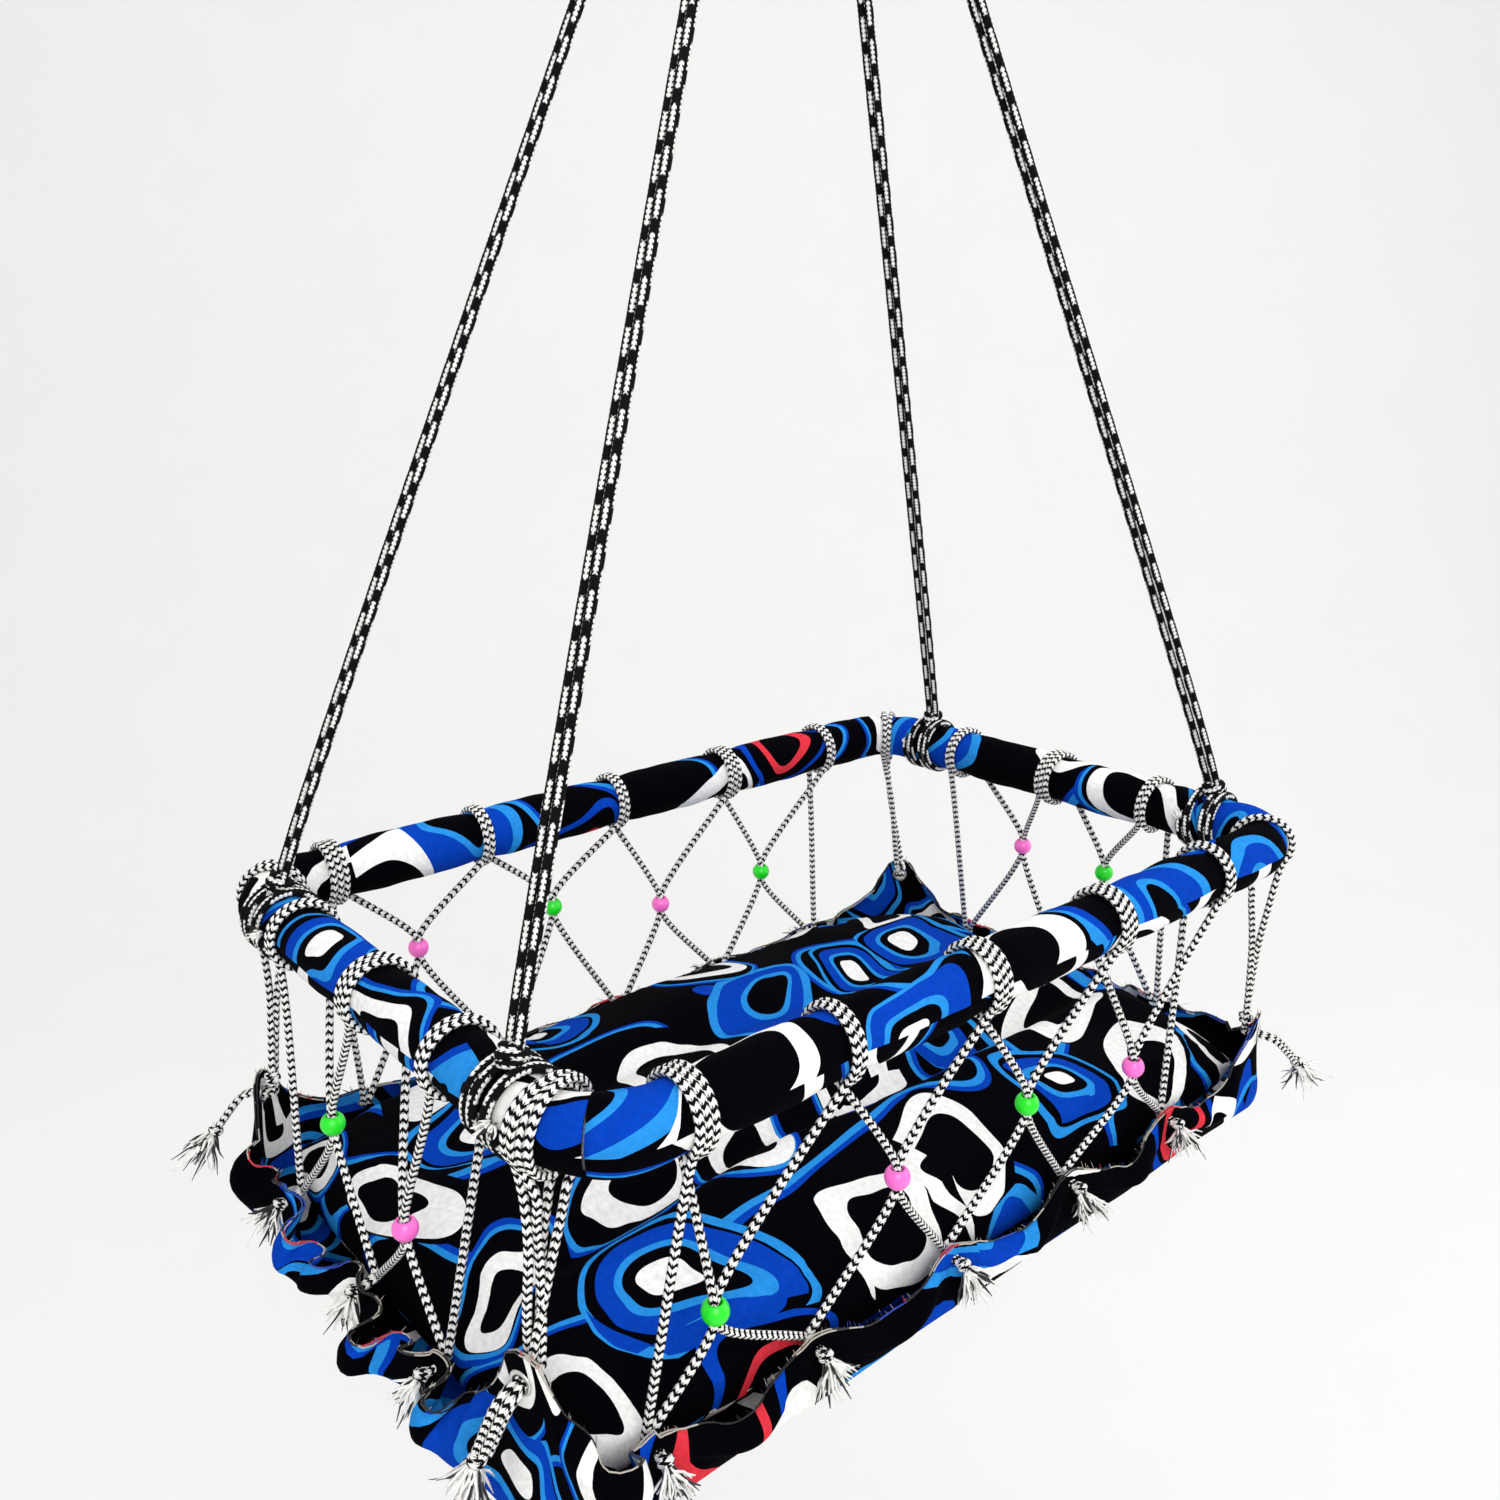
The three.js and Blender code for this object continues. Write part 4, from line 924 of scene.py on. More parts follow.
def add_camera(scene):
    """The photograph's view, off the front left corner."""
    yaw, pitch, roll = (math.radians(a) for a in (CAMERA_YAW, CAMERA_PITCH, CAMERA_ROLL))
    forward = Vector((math.sin(yaw) * math.cos(pitch), math.cos(yaw) * math.cos(pitch), -math.sin(pitch)))
    right = Vector((math.cos(yaw), -math.sin(yaw), 0))
    up = right.cross(forward)
    turned_right = right * math.cos(roll) + up * math.sin(roll)
    turned_up = up * math.cos(roll) - right * math.sin(roll)
    camera = bpy.data.cameras.new("camera")
    camera.sensor_fit = "HORIZONTAL"
    camera.sensor_width = SENSOR_WIDTH_MM
    camera.lens = SENSOR_WIDTH_MM * FOCAL_PIXELS / PHOTO_PIXELS
    camera.clip_start = NEAREST_SEEN
    thing = add_thing("camera", camera)
    axes = Matrix((turned_right, turned_up, -forward)).transposed().to_4x4()
    thing.matrix_world = Matrix.Translation(CAMERA_PLACE) @ axes
    scene.camera = thing


# The hook, the ring and the ropes

STEEL_RADIUS = 0.004
STEEL_SIDES = 20
HOOK_BOWL = 0.022
HOOK_SHANK = 0.016
HOOK_TIP_SHARE = 0.62
HOOK_STEPS = 16
HOOK_STEP = 0.0015
RING_WIDTH = 0.036
RING_LEG = 0.008
RING_CORNER = 0.006
RING_ARCH_STEPS = 30
RING_CORNER_STEPS = 8


def hook_route():
    """The S-hook's centreline: its upper half, then the same turned round its middle."""
    length = 2 * HOOK_BOWL + HOOK_SHANK
    bowl = HOOK_BOWL / 2 + STEEL_RADIUS
    lean = math.asin(2 * bowl / (length - HOOK_BOWL))
    crest = math.pi / 2
    tip = crest + math.pi * HOOK_TIP_SHARE
    bend = arc(bowl, tip, crest, HOOK_STEPS)[:-1] + arc(bowl, crest, -lean, HOOK_STEPS)
    upper = [Vector((0, y, z - HOOK_BOWL / 2)) for y, z in bend]
    middle = Vector((0, 0, -length / 2))
    return upper + [2 * middle - p for p in reversed(upper)]


def ring_route():
    """The ring's centreline: an arch over the hook and two rounded corners to a straight bar."""
    arch = RING_WIDTH / 2 + STEEL_RADIUS
    top = -(2 * HOOK_BOWL + HOOK_SHANK) + CLEARANCE + STEEL_RADIUS
    bar = top - arch - RING_LEG - RING_CORNER
    half = arch - RING_CORNER
    points = []
    for x, z, bend in (
        (0, top - arch, arc(arch, 0, math.pi, RING_ARCH_STEPS)),
        (-half, bar + RING_CORNER, arc(RING_CORNER, math.pi, 1.5 * math.pi, RING_CORNER_STEPS)),
        (half, bar + RING_CORNER, arc(RING_CORNER, 1.5 * math.pi, 2 * math.pi, RING_CORNER_STEPS)),
    ):
        points += [Vector((x + u, 0, z + v)) for u, v in bend]
    return points


def rounded_ends(radius, count, taper=3):
    """Radii that round off the two ends of a bar."""
    radii = [radius] * count
    for i in range(taper):
        share = math.sqrt(1 - (1 - (i + 0.4) / taper) ** 2)
        radii[i] = radii[-1 - i] = radius * share
    return radii


class CRADLE_OT_steel(bpy.types.Operator):
    """The S-hook and the ring that the ropes hang from."""

    bl_idname = "cradle.steel"
    bl_label = "Hook and ring"

    def execute(self, context):
        look = metal("polished_steel", tint=(0.72, 0.73, 0.75), roughness=0.16, scratch_scale=700.0)
        hook = Fabric()
        route, _ = soft_curve(hook_route(), HOOK_STEP)
        hook.tube(route, rounded_ends(STEEL_RADIUS, len(route)), STEEL_SIDES)
        finish_piece(hook.piece("steel_hook"), look, "hook", ["hanging_hook"])
        ring = Fabric()
        points = ring_route()
        split = len(points) // 4
        ring.tube(points[split:] + points[:split + 1], STEEL_RADIUS, STEEL_SIDES)
        finish_piece(ring.piece("steel_ring"), look, "ring", ["hanging_ring"])
        return {"FINISHED"}


ROPE_GAP = 0.0004
STRAND_GAP = 0.0016
ROPE_STEP = 0.004
ROPE_SIDES = 12
ROPE_LOOP_PITCH = 0.007
ROPE_LOOP_STEPS = 16
ROPE_GATHER_DROP = 0.15
ROPE_KNOT_HEIGHT = 0.015
ROPE_KNOT_SINK = 0.001
LASHING_TURNS = 1.75


def rope_route(corner, loop_x):
    """Up from a lashing, over the ring's bar and back down, in the hoop's frame, with each given point's
    facing, the knot's place and the bar's."""
    s = sizes()
    thickness = s.rope_thickness
    pitch = thickness + ROPE_GAP
    lashing = lashing_place(corner)
    radius = turn_radius(thickness)
    knot = Vector((lashing.x, lashing.y, s.rail_radius + CLEARANCE + ROPE_KNOT_HEIGHT / 2))
    bar = Vector((loop_x, 0, s.rope_rise))
    outward = Vector((corner.sign_x, corner.sign_y * 0.8, 0)).normalized()

    def strand(side):
        turns = []
        ways = [outward, outward]
        for i in range(round(LASHING_TURNS * WRAP_STEPS) + 1):
            angle = side * 2 * math.pi * i / WRAP_STEPS
            advance = side * (pitch / 2 + pitch * i / WRAP_STEPS)
            way = Vector((corner.sign_x * math.sin(angle), 0, math.cos(angle)))
            turns.append(lashing + way * radius + Vector((0, advance, 0)))
            ways.append(way)
        apart = Vector((0, side * (thickness + STRAND_GAP) / 2, 0))
        above = knot.lerp(bar, ROPE_KNOT_HEIGHT / 2 / s.rope_rise) + apart
        gather = knot.lerp(bar, 1 - ROPE_GATHER_DROP / s.rope_rise) + apart
        return turns[::-1] + [above, gather], ways[::-1]

    loop_radius = STEEL_RADIUS + CLEARANCE + thickness / 2
    loop = [bar + Vector((0, y, z)) for y, z in arc(loop_radius, math.pi, 0, ROPE_LOOP_STEPS)]
    first, first_ways = strand(-1)
    last, last_ways = strand(1)
    ways = first_ways + [Vector((corner.sign_x, 0, 0))] * len(loop) + last_ways[::-1]
    return first + loop + last[::-1], ways, knot, bar


class CRADLE_OT_ropes(bpy.types.Operator):
    """Four doubled ropes with their lashings, knots and frayed ends."""

    bl_idname = "cradle.ropes"
    bl_label = "Ropes"

    def execute(self, context):
        s = sizes()
        look = rope_look()
        yarn = frayed_yarn("rope_yarn")
        for index, corner in enumerate(CORNERS):
            points, ways, knot, bar = rope_route(corner, (index - 1.5) * ROPE_LOOP_PITCH)
            rope = Fabric()
            route, marks = soft_curve(points, ROPE_STEP)
            facings = [ways[0]]
            for k in range(len(marks) - 1):
                count = marks[k + 1] - marks[k]
                facings += [ways[k].lerp(ways[k + 1], (i + 1) / count) for i in range(count)]
            rope.tube(route, rounded_ends(s.rope_thickness / 2, len(route)), ROPE_SIDES, facings=facings)
            way = (bar - knot).normalized()
            knot_turns(rope, knot - way * ROPE_KNOT_SINK, way, thickness=s.rope_thickness, **ROPE_KNOT)
            piece = rope.piece(f"hanging_rope_{corner.name}", HOOP_FRAME)
            finish_piece(piece, look, "sling", [f"rope_{corner.name}"])
            ends = Fabric()
            for side, end in ((-1, route[0]), (1, route[-1])):
                way = Vector((corner.sign_x * 0.8, side * 0.5, 0.35)).normalized()
                tassel(ends, end, way, seed=index * 10 + side, **ROPE_FRAY)
            finish_piece(ends.piece(f"rope_fray_{corner.name}", HOOP_FRAME), yarn, "sling")
        return {"FINISHED"}


# The rails' sleeves

SLEEVE_STEP = 0.0032
SLEEVE_SIDES = 40
SLEEVE_WALL = 0.001
# How far the cloth stands off the foam between cords, over what distance, and how it puckers beside them
SLEEVE_SWELL = 0.0021
SLEEVE_RELEASE = 0.012
PUCKER_HEIGHT = 0.0011
PUCKER_START = 0.003
# The seam's depth, its angle round the rail and its width as an angle
SLEEVE_SEAM = 0.0006
SEAM_ANGLE = 1.25 * math.pi
SEAM_WIDTH = 0.09
# What cords take of a rail: the gap between a net's turns, the margin beside them, and half of what a
# corner's cords and a rope's lashing take
WRAP_GAP = 0.0007
WRAP_MARGIN = 0.002
CORNER_HALF = 0.011
LASHING_HALF = 0.0155
CORNER_PARTS = 10


def rail_route(side):
    """Half a corner, the straight rail and half a corner, from the left as seen from outside."""
    s = sizes()
    full = 90 if side in LONG_SIDES else 0
    half = [45 + (full - 45) * i / CORNER_PARTS for i in range(CORNER_PARTS + 1)]
    before, after = corners_of(side)
    first = [corner_place(before, d, s.corner_radius) for d in half]
    second = [corner_place(after, d, s.corner_radius) for d in reversed(half)]
    return first + second


class CRADLE_OT_rails(bpy.types.Operator):
    """Printed cloth sleeves on the hoop's rails, drawn in where the cords go round."""

    bl_idname = "cradle.rails"
    bl_label = "Rail sleeves"

    def execute(self, context):
        for index, side in enumerate(SIDES):
            look = printed_cloth(f"sleeve_print_{side}", (3.7 * index + 1.3, 2.9 * index + 0.4, 0.0))
            route, _ = soft_curve(rail_route(side), SLEEVE_STEP)
            sleeve = Fabric()
            self.sweep(sleeve, route, self.tight_places(side), index * 7.31)
            thing = sleeve.piece(f"rail_sleeve_{side}", HOOP_FRAME)
            wall = thing.modifiers.new("cloth wall", "SOLIDIFY")
            wall.thickness = SLEEVE_WALL
            wall.offset = -1.0
            finish_piece(thing, look, "sling", [f"rail_cover_{side}"])
            length = lengths_along(route)[-1]
        return {"FINISHED"}

    def tight_places(self, side):
        """Points in the hoop's frame where cords or ropes squeeze this rail, and half of what each takes."""
        s = sizes()
        pitch = s.cord_thickness + WRAP_GAP
        to_hoop = HOOP_FRAME.inverted() @ side_matrix(side)
        wraps, _, _, turns = net_layout(side)
        places = []
        for x, extra in zip(wraps, turns):
            places.append((to_hoop @ Vector((x, 0, 0)), (extra + 1.2) * pitch / 2 + WRAP_MARGIN))
        for corner in CORNERS:
            places.append((corner_place(corner, corner.winding, s.corner_radius), CORNER_HALF))
            if side not in LONG_SIDES and corner in corners_of(side):
                places.append((lashing_place(corner), LASHING_HALF))
        return places

    def sweep(self, sleeve, route, tight, shift):
        """Rings of cloth along the rail. shift moves the noise on, so that no two sleeves look alike."""
        s = sizes()
        alongs = lengths_along(route)
        for i, (place, along) in enumerate(zip(route, alongs)):
            forward = heading_at(route, i)
            outward = Vector((forward.y, -forward.x, 0))
            away = max(0.0, min((place - where).length - half for where, half in tight))
            free = 1 - math.exp(-((away / SLEEVE_RELEASE) ** 1.5))
            pucker = math.exp(-away / SLEEVE_RELEASE) * (1 - math.exp(-away / PUCKER_START))
            for k in range(SLEEVE_SIDES):
                angle = 2 * math.pi * k / SLEEVE_SIDES
                wave = noise_at(along * 45, math.cos(angle) * 1.2 + shift, math.sin(angle) * 1.2)
                fold = noise_at(along * 10 + shift, math.cos(angle) * 4.5, math.sin(angle) * 4.5)
                seam = math.exp(-(((angle - SEAM_ANGLE + 0.12 * wave) / SEAM_WIDTH) ** 2))
                radius = s.rail_radius + SLEEVE_SWELL * free * (0.75 + 0.6 * wave)
                radius += PUCKER_HEIGHT * pucker * (fold + 0.4) - SLEEVE_SEAM * seam * free
                sleeve.places.append(
                    place + outward * (radius * math.cos(angle)) + Vector((0, 0, radius * math.sin(angle)))
                )
        sleeve.wrap(0, SLEEVE_SIDES, alongs, girth=2 * math.pi * s.rail_radius, inverted=True)


# The nets and their beads

# A tie outside the cloth: its cords' radius and points, and where its tassel starts
TIE_RADIUS = 0.0024
TIE_STEP = 0.003
TIE_OUT = 0.0075
TIE_MIDDLE_RISE = 0.0005
TIE_END = (0.0008, -0.002, -0.001)
TIE_TASSEL_FROM = 0.003


class CRADLE_OT_nets(bpy.types.Operator):
    """Cords wound round the rails, crossed through the beads and tied outside the bed."""

    bl_idname = "cradle.nets"
    bl_label = "Side nets"

    def execute(self, context):
        s = sizes()
        look = cord_look()
        yarn = frayed_yarn("net_yarn")
        radius = turn_radius(s.cord_thickness)
        for side in SIDES:
            wraps, holes, beads, turns = net_layout(side)
            matrix = side_matrix(side)
            windings, cords, ties, frays = Fabric(), Fabric(), Fabric(), Fabric()
            for index, (x, extra) in enumerate(zip(wraps, turns)):
                wound = wrap_points(x, radius, s.cord_thickness * WRAP_PITCH_SHARE, extra)
                left = net_lead(holes, beads, index, -1)[::-1]
                right = net_lead(holes, beads, index, 1)
                lay_cord(left, wound, right, cords, windings)
            for index, hole in enumerate(holes):
                self.tied_end(ties, frays, hole, index + 10 * SIDES.index(side))
            nodes = [f"net_{side}"]
            finish_piece(windings.piece(f"net_windings_{side}", matrix), look, "sling", nodes)
            hung = finish_piece(cords.piece(f"net_cords_{side}", matrix), look, "sling", nodes)
            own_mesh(hung)
            finish_piece(ties.piece(f"net_ties_{side}", matrix), look, "bed", nodes)
            finish_piece(frays.piece(f"net_tassels_{side}", matrix), yarn, "bed", nodes)
        return {"FINISHED"}

    def tied_end(self, ties, frays, hole, seed):
        """Two cords through the cloth, a knot outside it and their frayed ends."""
        dice = random.Random(seed + 400)
        outside = hole + Vector((0, -TIE_OUT, 0))
        end_x, end_y, end_z = TIE_END
        for aside in (-1, 1):
            start = hole + Vector((aside * CORD_SHIFT, TIE_REACH, TIE_RISE))
            middle = hole + Vector((aside * CORD_SHIFT, 0, TIE_MIDDLE_RISE))
            end = outside + Vector((aside * end_x, end_y, end_z))
            route, _ = soft_curve([start, middle, end], TIE_STEP)
            ties.tube(route, TIE_RADIUS)
        way = Vector((dice.uniform(-0.3, 0.3), -0.75, -0.85)).normalized()
        knot_turns(ties, outside, way, **TIE_KNOT)
        knot_turns(ties, outside, Vector((1, 0, 0.3)), **TIE_CROSSING)
        tassel(frays, outside + way * TIE_TASSEL_FROM, way, seed=seed, **NET_TASSEL)


BEAD_BORE_RADIUS = 0.0036
BEAD_LIP = 0.0009
BEAD_ARC_STEPS = 18
BEAD_LIP_STEPS = 4
BEAD_SPIN_STEPS = 32


class CRADLE_OT_beads(bpy.types.Operator):
    """Twelve round beads on the nets' crossings."""

    bl_idname = "cradle.beads"
    bl_label = "Beads"

    def execute(self, context):
        c = colours()
        looks = {"green": bead_plastic("bead_green", tuple(c.bead_green)),
                 "pink": bead_plastic("bead_pink", tuple(c.bead_pink))}
        profile = self.bead_profile()
        for body, names in BEAD_BODIES.items():
            for name in names:
                low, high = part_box(f"bead_{name}")
                tint = BEAD_LOOKS[int(name[-1]) - 1]
                centre = Matrix.Translation((low + high) / 2)
                thing = spun_piece(f"round_bead_{name}", profile, BEAD_SPIN_STEPS, centre)
                finish_piece(thing, looks[tint], body, [f"bead_{name}"])
        return {"FINISHED"}

    def bead_profile(self):
        """Half the section of a ball with a bored hole, whose mouths are rounded."""
        radius = sizes().bead_width / 2
        edge = math.acos((BEAD_BORE_RADIUS + BEAD_LIP) / radius)
        outside = arc(radius, -edge, edge, BEAD_ARC_STEPS)
        top = outside[-1][1] - BEAD_LIP
        lip = arc(BEAD_LIP, math.pi / 2, math.pi, BEAD_LIP_STEPS)[1:]
        mouth = [(BEAD_BORE_RADIUS + BEAD_LIP + r, top + z) for r, z in lip]
        lower = [(r, -z) for r, z in reversed(mouth)]
        return lower + outside + mouth


# The corners' cords and eyelets

CORNER_PITCH = 9.4
LIFTED_TURN = 0.0042
# The bundle of strands: how far in from its eyelet it ends and how far above, and its places along the drop
BUNDLE_OUT = 0.009
BUNDLE_FOOT = 0.006
STRAND_SHARES = (0.06, 0.18, 0.32, 0.46, 0.6, 0.74, 0.88, 1.0)
GATHERED_SHARE = 0.4
# An inner knot stands above its eyelet, but below the lowered rail
KNOT_RISE = 0.012
KNOT_HALF = 0.0065
# A tail: where its cords start, how far they lie apart and stand off the cloth, and their radii
TAIL_START_RISE = 0.008
TAIL_APART = 0.0021
TAIL_STAND_OFF = 0.0025
TAIL_SLIP = 0.001
TAIL_RADII = {2: 0.0022, 4: 0.0026}
BEHIND_RADIUS = 0.0025
BEHIND_GAP = 0.0034
END_KNOT_FROM = 0.002
END_TASSEL_FROM = 0.005
YARN_ENDS = {2: 60, 4: 84}


class CRADLE_OT_corner_cords(bpy.types.Operator):
    """Cords from the hoop's corners to the bed's eyelets, with their knots and tails."""

    bl_idname = "cradle.corner_cords"
    bl_label = "Corner cords"

    def execute(self, context):
        s = sizes()
        look = cord_look()
        yarn = frayed_yarn("corner_yarn")
        radius = turn_radius(s.cord_thickness)
        for index, corner in enumerate(CORNERS):
            eyelet, facing = eyelet_place(corner)
            middle = corner_place(corner, corner.winding, s.corner_radius)
            along = (corner_place(corner, corner.winding + 10, s.corner_radius) - middle).normalized()
            inside = eyelet - facing * BUNDLE_OUT
            windings, hung = Fabric(), Fabric()
            for pair in range(corner.strands // 2):
                first = self.strand(middle, inside, along, 2 * pair, corner.strands)
                last = self.strand(middle, inside, along, 2 * pair + 1, corner.strands)
                wound = self.winding(corner, CORNER_PITCH / 2 * pair, radius, LIFTED_TURN * pair)
                lay_cord(first[::-1], wound, last, hung, windings)
            name = corner.name
            node = [f"corner_cord_{name}"]
            wound_piece = windings.piece(f"corner_windings_{name}", HOOP_FRAME)
            finish_piece(wound_piece, look, "sling", node)
            bundle = hung.piece(f"corner_strands_{name}", HOOP_FRAME)
            finish_piece(bundle, look, "sling", node)
            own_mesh(bundle)
            tail, fray = self.tail(corner, eyelet, facing, along, 90 + index)
            finish_piece(tail.piece(f"corner_tail_{name}", HOOP_FRAME), look, "bed", node)
            finish_piece(fray.piece(f"corner_tassel_{name}", HOOP_FRAME), yarn, "bed", node)
        return {"FINISHED"}

    def strand(self, middle, inside, along, number, strands):
        """Points of one strand, side by side under the rail and gathered round each other below."""
        s = sizes()
        across = along.cross(Vector((0, 0, 1)))
        outward = across if across.dot(middle) > 0 else -across
        aside = outward * (s.rail_radius * (0.25 if number % 2 else -0.7))
        start = Vector((middle.x, middle.y, -s.rail_radius - s.cord_thickness * 1.4)) - aside
        end = inside + Vector((0, 0, BUNDLE_FOOT))
        row = along * ((number - (strands - 1) / 2) * s.cord_thickness)
        ring = s.cord_thickness * (0.51 if strands == 2 else 0.7)
        points = []
        for share in STRAND_SHARES:
            turn = 2 * math.pi * number / strands + 2.4 * share + 0.6
            round_place = (along * math.cos(turn) + across * math.sin(turn)) * ring
            gathered = row.lerp(round_place, min(1.0, share / GATHERED_SHARE))
            points.append(start.lerp(end, share) + gathered)
        return points

    def winding(self, corner, onward, radius, lifted):
        """Turns round the bent corner. A second cord's turns are lifted over the first on the inner side."""
        s = sizes()
        points = []
        for angle, turn in turn_angles(corner.turns):
            degrees = corner.winding + onward + CORNER_PITCH * turn
            reach = radius + lifted * (0.5 - 0.5 * math.cos(angle))
            place = corner_place(corner, degrees, s.corner_radius + reach * math.cos(angle))
            points.append(place + Vector((0, 0, reach * math.sin(angle))))
        return points

    def tail(self, corner, eyelet, facing, along, seed):
        """The cords through an eyelet, with a knot on its inner side and another above their tassel."""
        tail, fray = Fabric(), Fabric()
        inside = eyelet - facing * BUNDLE_OUT
        outside = eyelet + facing * BUNDLE_OUT
        end = outside + Vector(corner.tail_end)
        top = outside.lerp(end, 0.16) + facing * TAIL_STAND_OFF
        for aside in (-1, 1):
            shift = along * (aside * TAIL_APART)
            points = [inside + shift + Vector((0, 0, TAIL_START_RISE)), inside + shift * 0.9,
                      eyelet + shift * 0.85, outside + shift - Vector((0, 0, TAIL_SLIP)),
                      top + shift * 1.2, end + shift]
            route, _ = soft_curve(points, CORD_STEP)
            tail.tube(route, TAIL_RADII[corner.strands])
            if corner.strands > 2:
                behind = [p - facing * BEHIND_GAP + shift * 0.4 for p in points[3:]]
                route, _ = soft_curve([eyelet + shift * 0.3, *behind], CORD_STEP)
                tail.tube(route, BEHIND_RADIUS)
        room = -eyelet.z - BED_LIFT - sizes().rail_radius
        knot_place = inside + Vector((0, 0, min(KNOT_RISE, room - KNOT_HALF)))
        knot_turns(tail, knot_place, Vector((0, 0, 1)), **INNER_KNOT)
        way = (end - top).normalized()
        knot_turns(tail, end + way * END_KNOT_FROM, way, **END_KNOT)
        tassel(fray, end + way * END_TASSEL_FROM, way, YARN_ENDS[corner.strands], seed=seed, **CORNER_TASSEL)
        return tail, fray


EYELET_BORE = 0.0082
EYELET_FLANGE = 0.014
EYELET_FACE = 0.0015
EYELET_SPIN_STEPS = 40
# Half of an eyelet's section: out from its bore and up from the cloth, then in from its flange and up
EYELET_FROM_BORE = ((0.0, 0.0001), (0.0003, 0.0006), (0.0009, 0.0008), (0.0015, 0.0008))
EYELET_FROM_FLANGE = ((0.0006, 0.0005), (0.0, 0.0002), (0.0003, 0.0))
EYELET_NECK = 0.0009


class CRADLE_OT_eyelets(bpy.types.Operator):
    """Metal eyelets in the bed's corner tips."""

    bl_idname = "cradle.eyelets"
    bl_label = "Eyelets"

    def execute(self, context):
        look = metal("eyelet_plate", tint=(0.74, 0.73, 0.7), roughness=0.22, scratch_scale=900.0)
        half = [(EYELET_BORE / 2 + out, EYELET_FACE + up) for out, up in EYELET_FROM_BORE]
        half += [(EYELET_FLANGE / 2 - inward, EYELET_FACE + up) for inward, up in EYELET_FROM_FLANGE]
        half.append((EYELET_BORE / 2 + EYELET_NECK, EYELET_FACE))
        profile = half + [(r, -z) for r, z in reversed(half)]
        for corner in CORNERS:
            place, facing = eyelet_place(corner)
            turn = facing.to_track_quat("Z", "Y").to_matrix().to_4x4()
            matrix = HOOP_FRAME @ Matrix.Translation(place) @ turn
            thing = spun_piece(f"metal_eyelet_{corner.name}", profile, EYELET_SPIN_STEPS, matrix)
            finish_piece(thing, look, "bed", [f"eyelet_{corner.name}"])
        return {"FINISHED"}


# The bed's cloth

TIE_BELOW_EDGE = 0.009
# How far the wall swells out between ties, the share of it at the free edge, and how far that edge dips
EDGE_SWELLS = {"front": 0.014, "back": 0.014, "right": 0.014, "left": 0.029}
EDGE_LEANS = {"front": 0.2, "back": 0.5, "right": 0.5, "left": 0.5}
EDGE_DIPS = {"front": 0.019, "back": 0.009, "right": 0.009, "left": 0.009}
# The ruffle's height and length, and how the edge slumps between its ties
EDGE_WAVES = {
    "front": (0.0022, 0.06), "back": (0.0025, 0.055), "right": (0.006, 0.04), "left": (0.0105, 0.037),
}
EDGE_SLUMP = 0.004
EDGE_STEP = 0.0023
RIDGE_BELOW_TIE = 0.008
RIDGE_DROPS = {"front": 0.011, "back": 0.006, "right": 0.006, "left": 0.006}
# A corner tip: its height, the ridge below its eyelet, how far along the edge it reaches and is flat,
# and the fall of its upper edge from its middle
TIP_ABOVE_EYELET = 0.015
TIP_FOOT = 0.014
TIP_REACH = 0.026
TIP_FLAT = 0.022
TIP_FALL = 0.02
TIP_FALL_FROM = 0.004
TIP_FALL_REACH = 0.012
# The small folds that a tie gathers
GATHER_HEIGHT = 0.0011
GATHER_PITCH = 0.0085
GATHER_REACH = 0.016
WALL_FOOT = 0.022
WALL_FOOT_PLAY = 0.004
WALL_BELLY = 0.004
WALL_SWELL = 0.003
FLOOR_LIP = 0.0015
FLOOR_DEPTH = 0.042
FLOOR_CURVE = 0.008
FLOOR_INSET = 0.03
# Finer points between those of a profile, and rings of the floor as shares of the way out
PROFILE_STEPS = (4, 4, 4, 3, 4, 3, 4)
FLOOR_SHARES = (0.8, 0.55, 0.3, 0.08)
BED_WALL = 0.002
# The rim's two raw edges, and the threads that stand out of them
RAW_EDGE_RADIUS = 0.0005
RAW_EDGE_APART = 0.0009
RAW_EDGE_OUT = 0.0004
RAW_EDGE_WOBBLE = 0.0006
THREAD_LENGTHS = (0.0015, 0.0045)
THREAD_CURL = 0.0012
THREAD_RADII = [0.00022, 0.0002, 0.0001]
THREAD_MAP_STEP = 0.003


def bed_edge():
    """The bed's sides in order along its edge, with the length of each straight and how far out it lies."""
    s = sizes()
    spans = []
    for side in SIDES:
        straight, across = (s.bed_length, s.bed_width) if side in LONG_SIDES else (s.bed_width, s.bed_length)
        spans.append((side, straight - 2 * s.corner_radius, across / 2))
    return spans


def edge_at(distance):
    """The side, the place and the outward way at a distance along the bed's edge."""
    r = sizes().corner_radius
    arc = math.pi / 2 * r
    spans = bed_edge()
    rest = distance % sum(straight + arc for _, straight, _ in spans)
    for side, straight, reach in spans:
        if rest < straight + arc:
            turn = Matrix.Rotation(SIDE_TURNS[side], 3, "Z")
            angle = max(0.0, rest - straight) / r
            outward = Vector((math.sin(angle), -math.cos(angle), 0))
            place = Vector((min(rest, straight) - straight / 2, -reach + r, 0)) + outward * r
            return side, turn @ place, turn @ outward
        rest -= straight + arc
    raise ValueError("the distance lies beyond the bed's edge")


def edge_anchors():
    """Ties and corner tips in order along the edge, each with its eyelet's height or None, and the edge's
    whole length."""
    r = sizes().corner_radius
    anchors, start = [], 0.0
    for side, straight, _ in bed_edge():
        _, holes, _, _ = net_layout(side)
        anchors += [(start + straight / 2 + hole.x, None) for hole in holes]
        _, corner = corners_of(side)
        eyelet, _ = eyelet_place(corner)
        from_side = 90 - corner.tip if side in LONG_SIDES else corner.tip
        anchors.append((start + straight + r * math.radians(from_side), eyelet.z))
        start += straight + math.pi / 2 * r
    return anchors, start


def mixed(a, b, share):
    return a + (b - a) * share


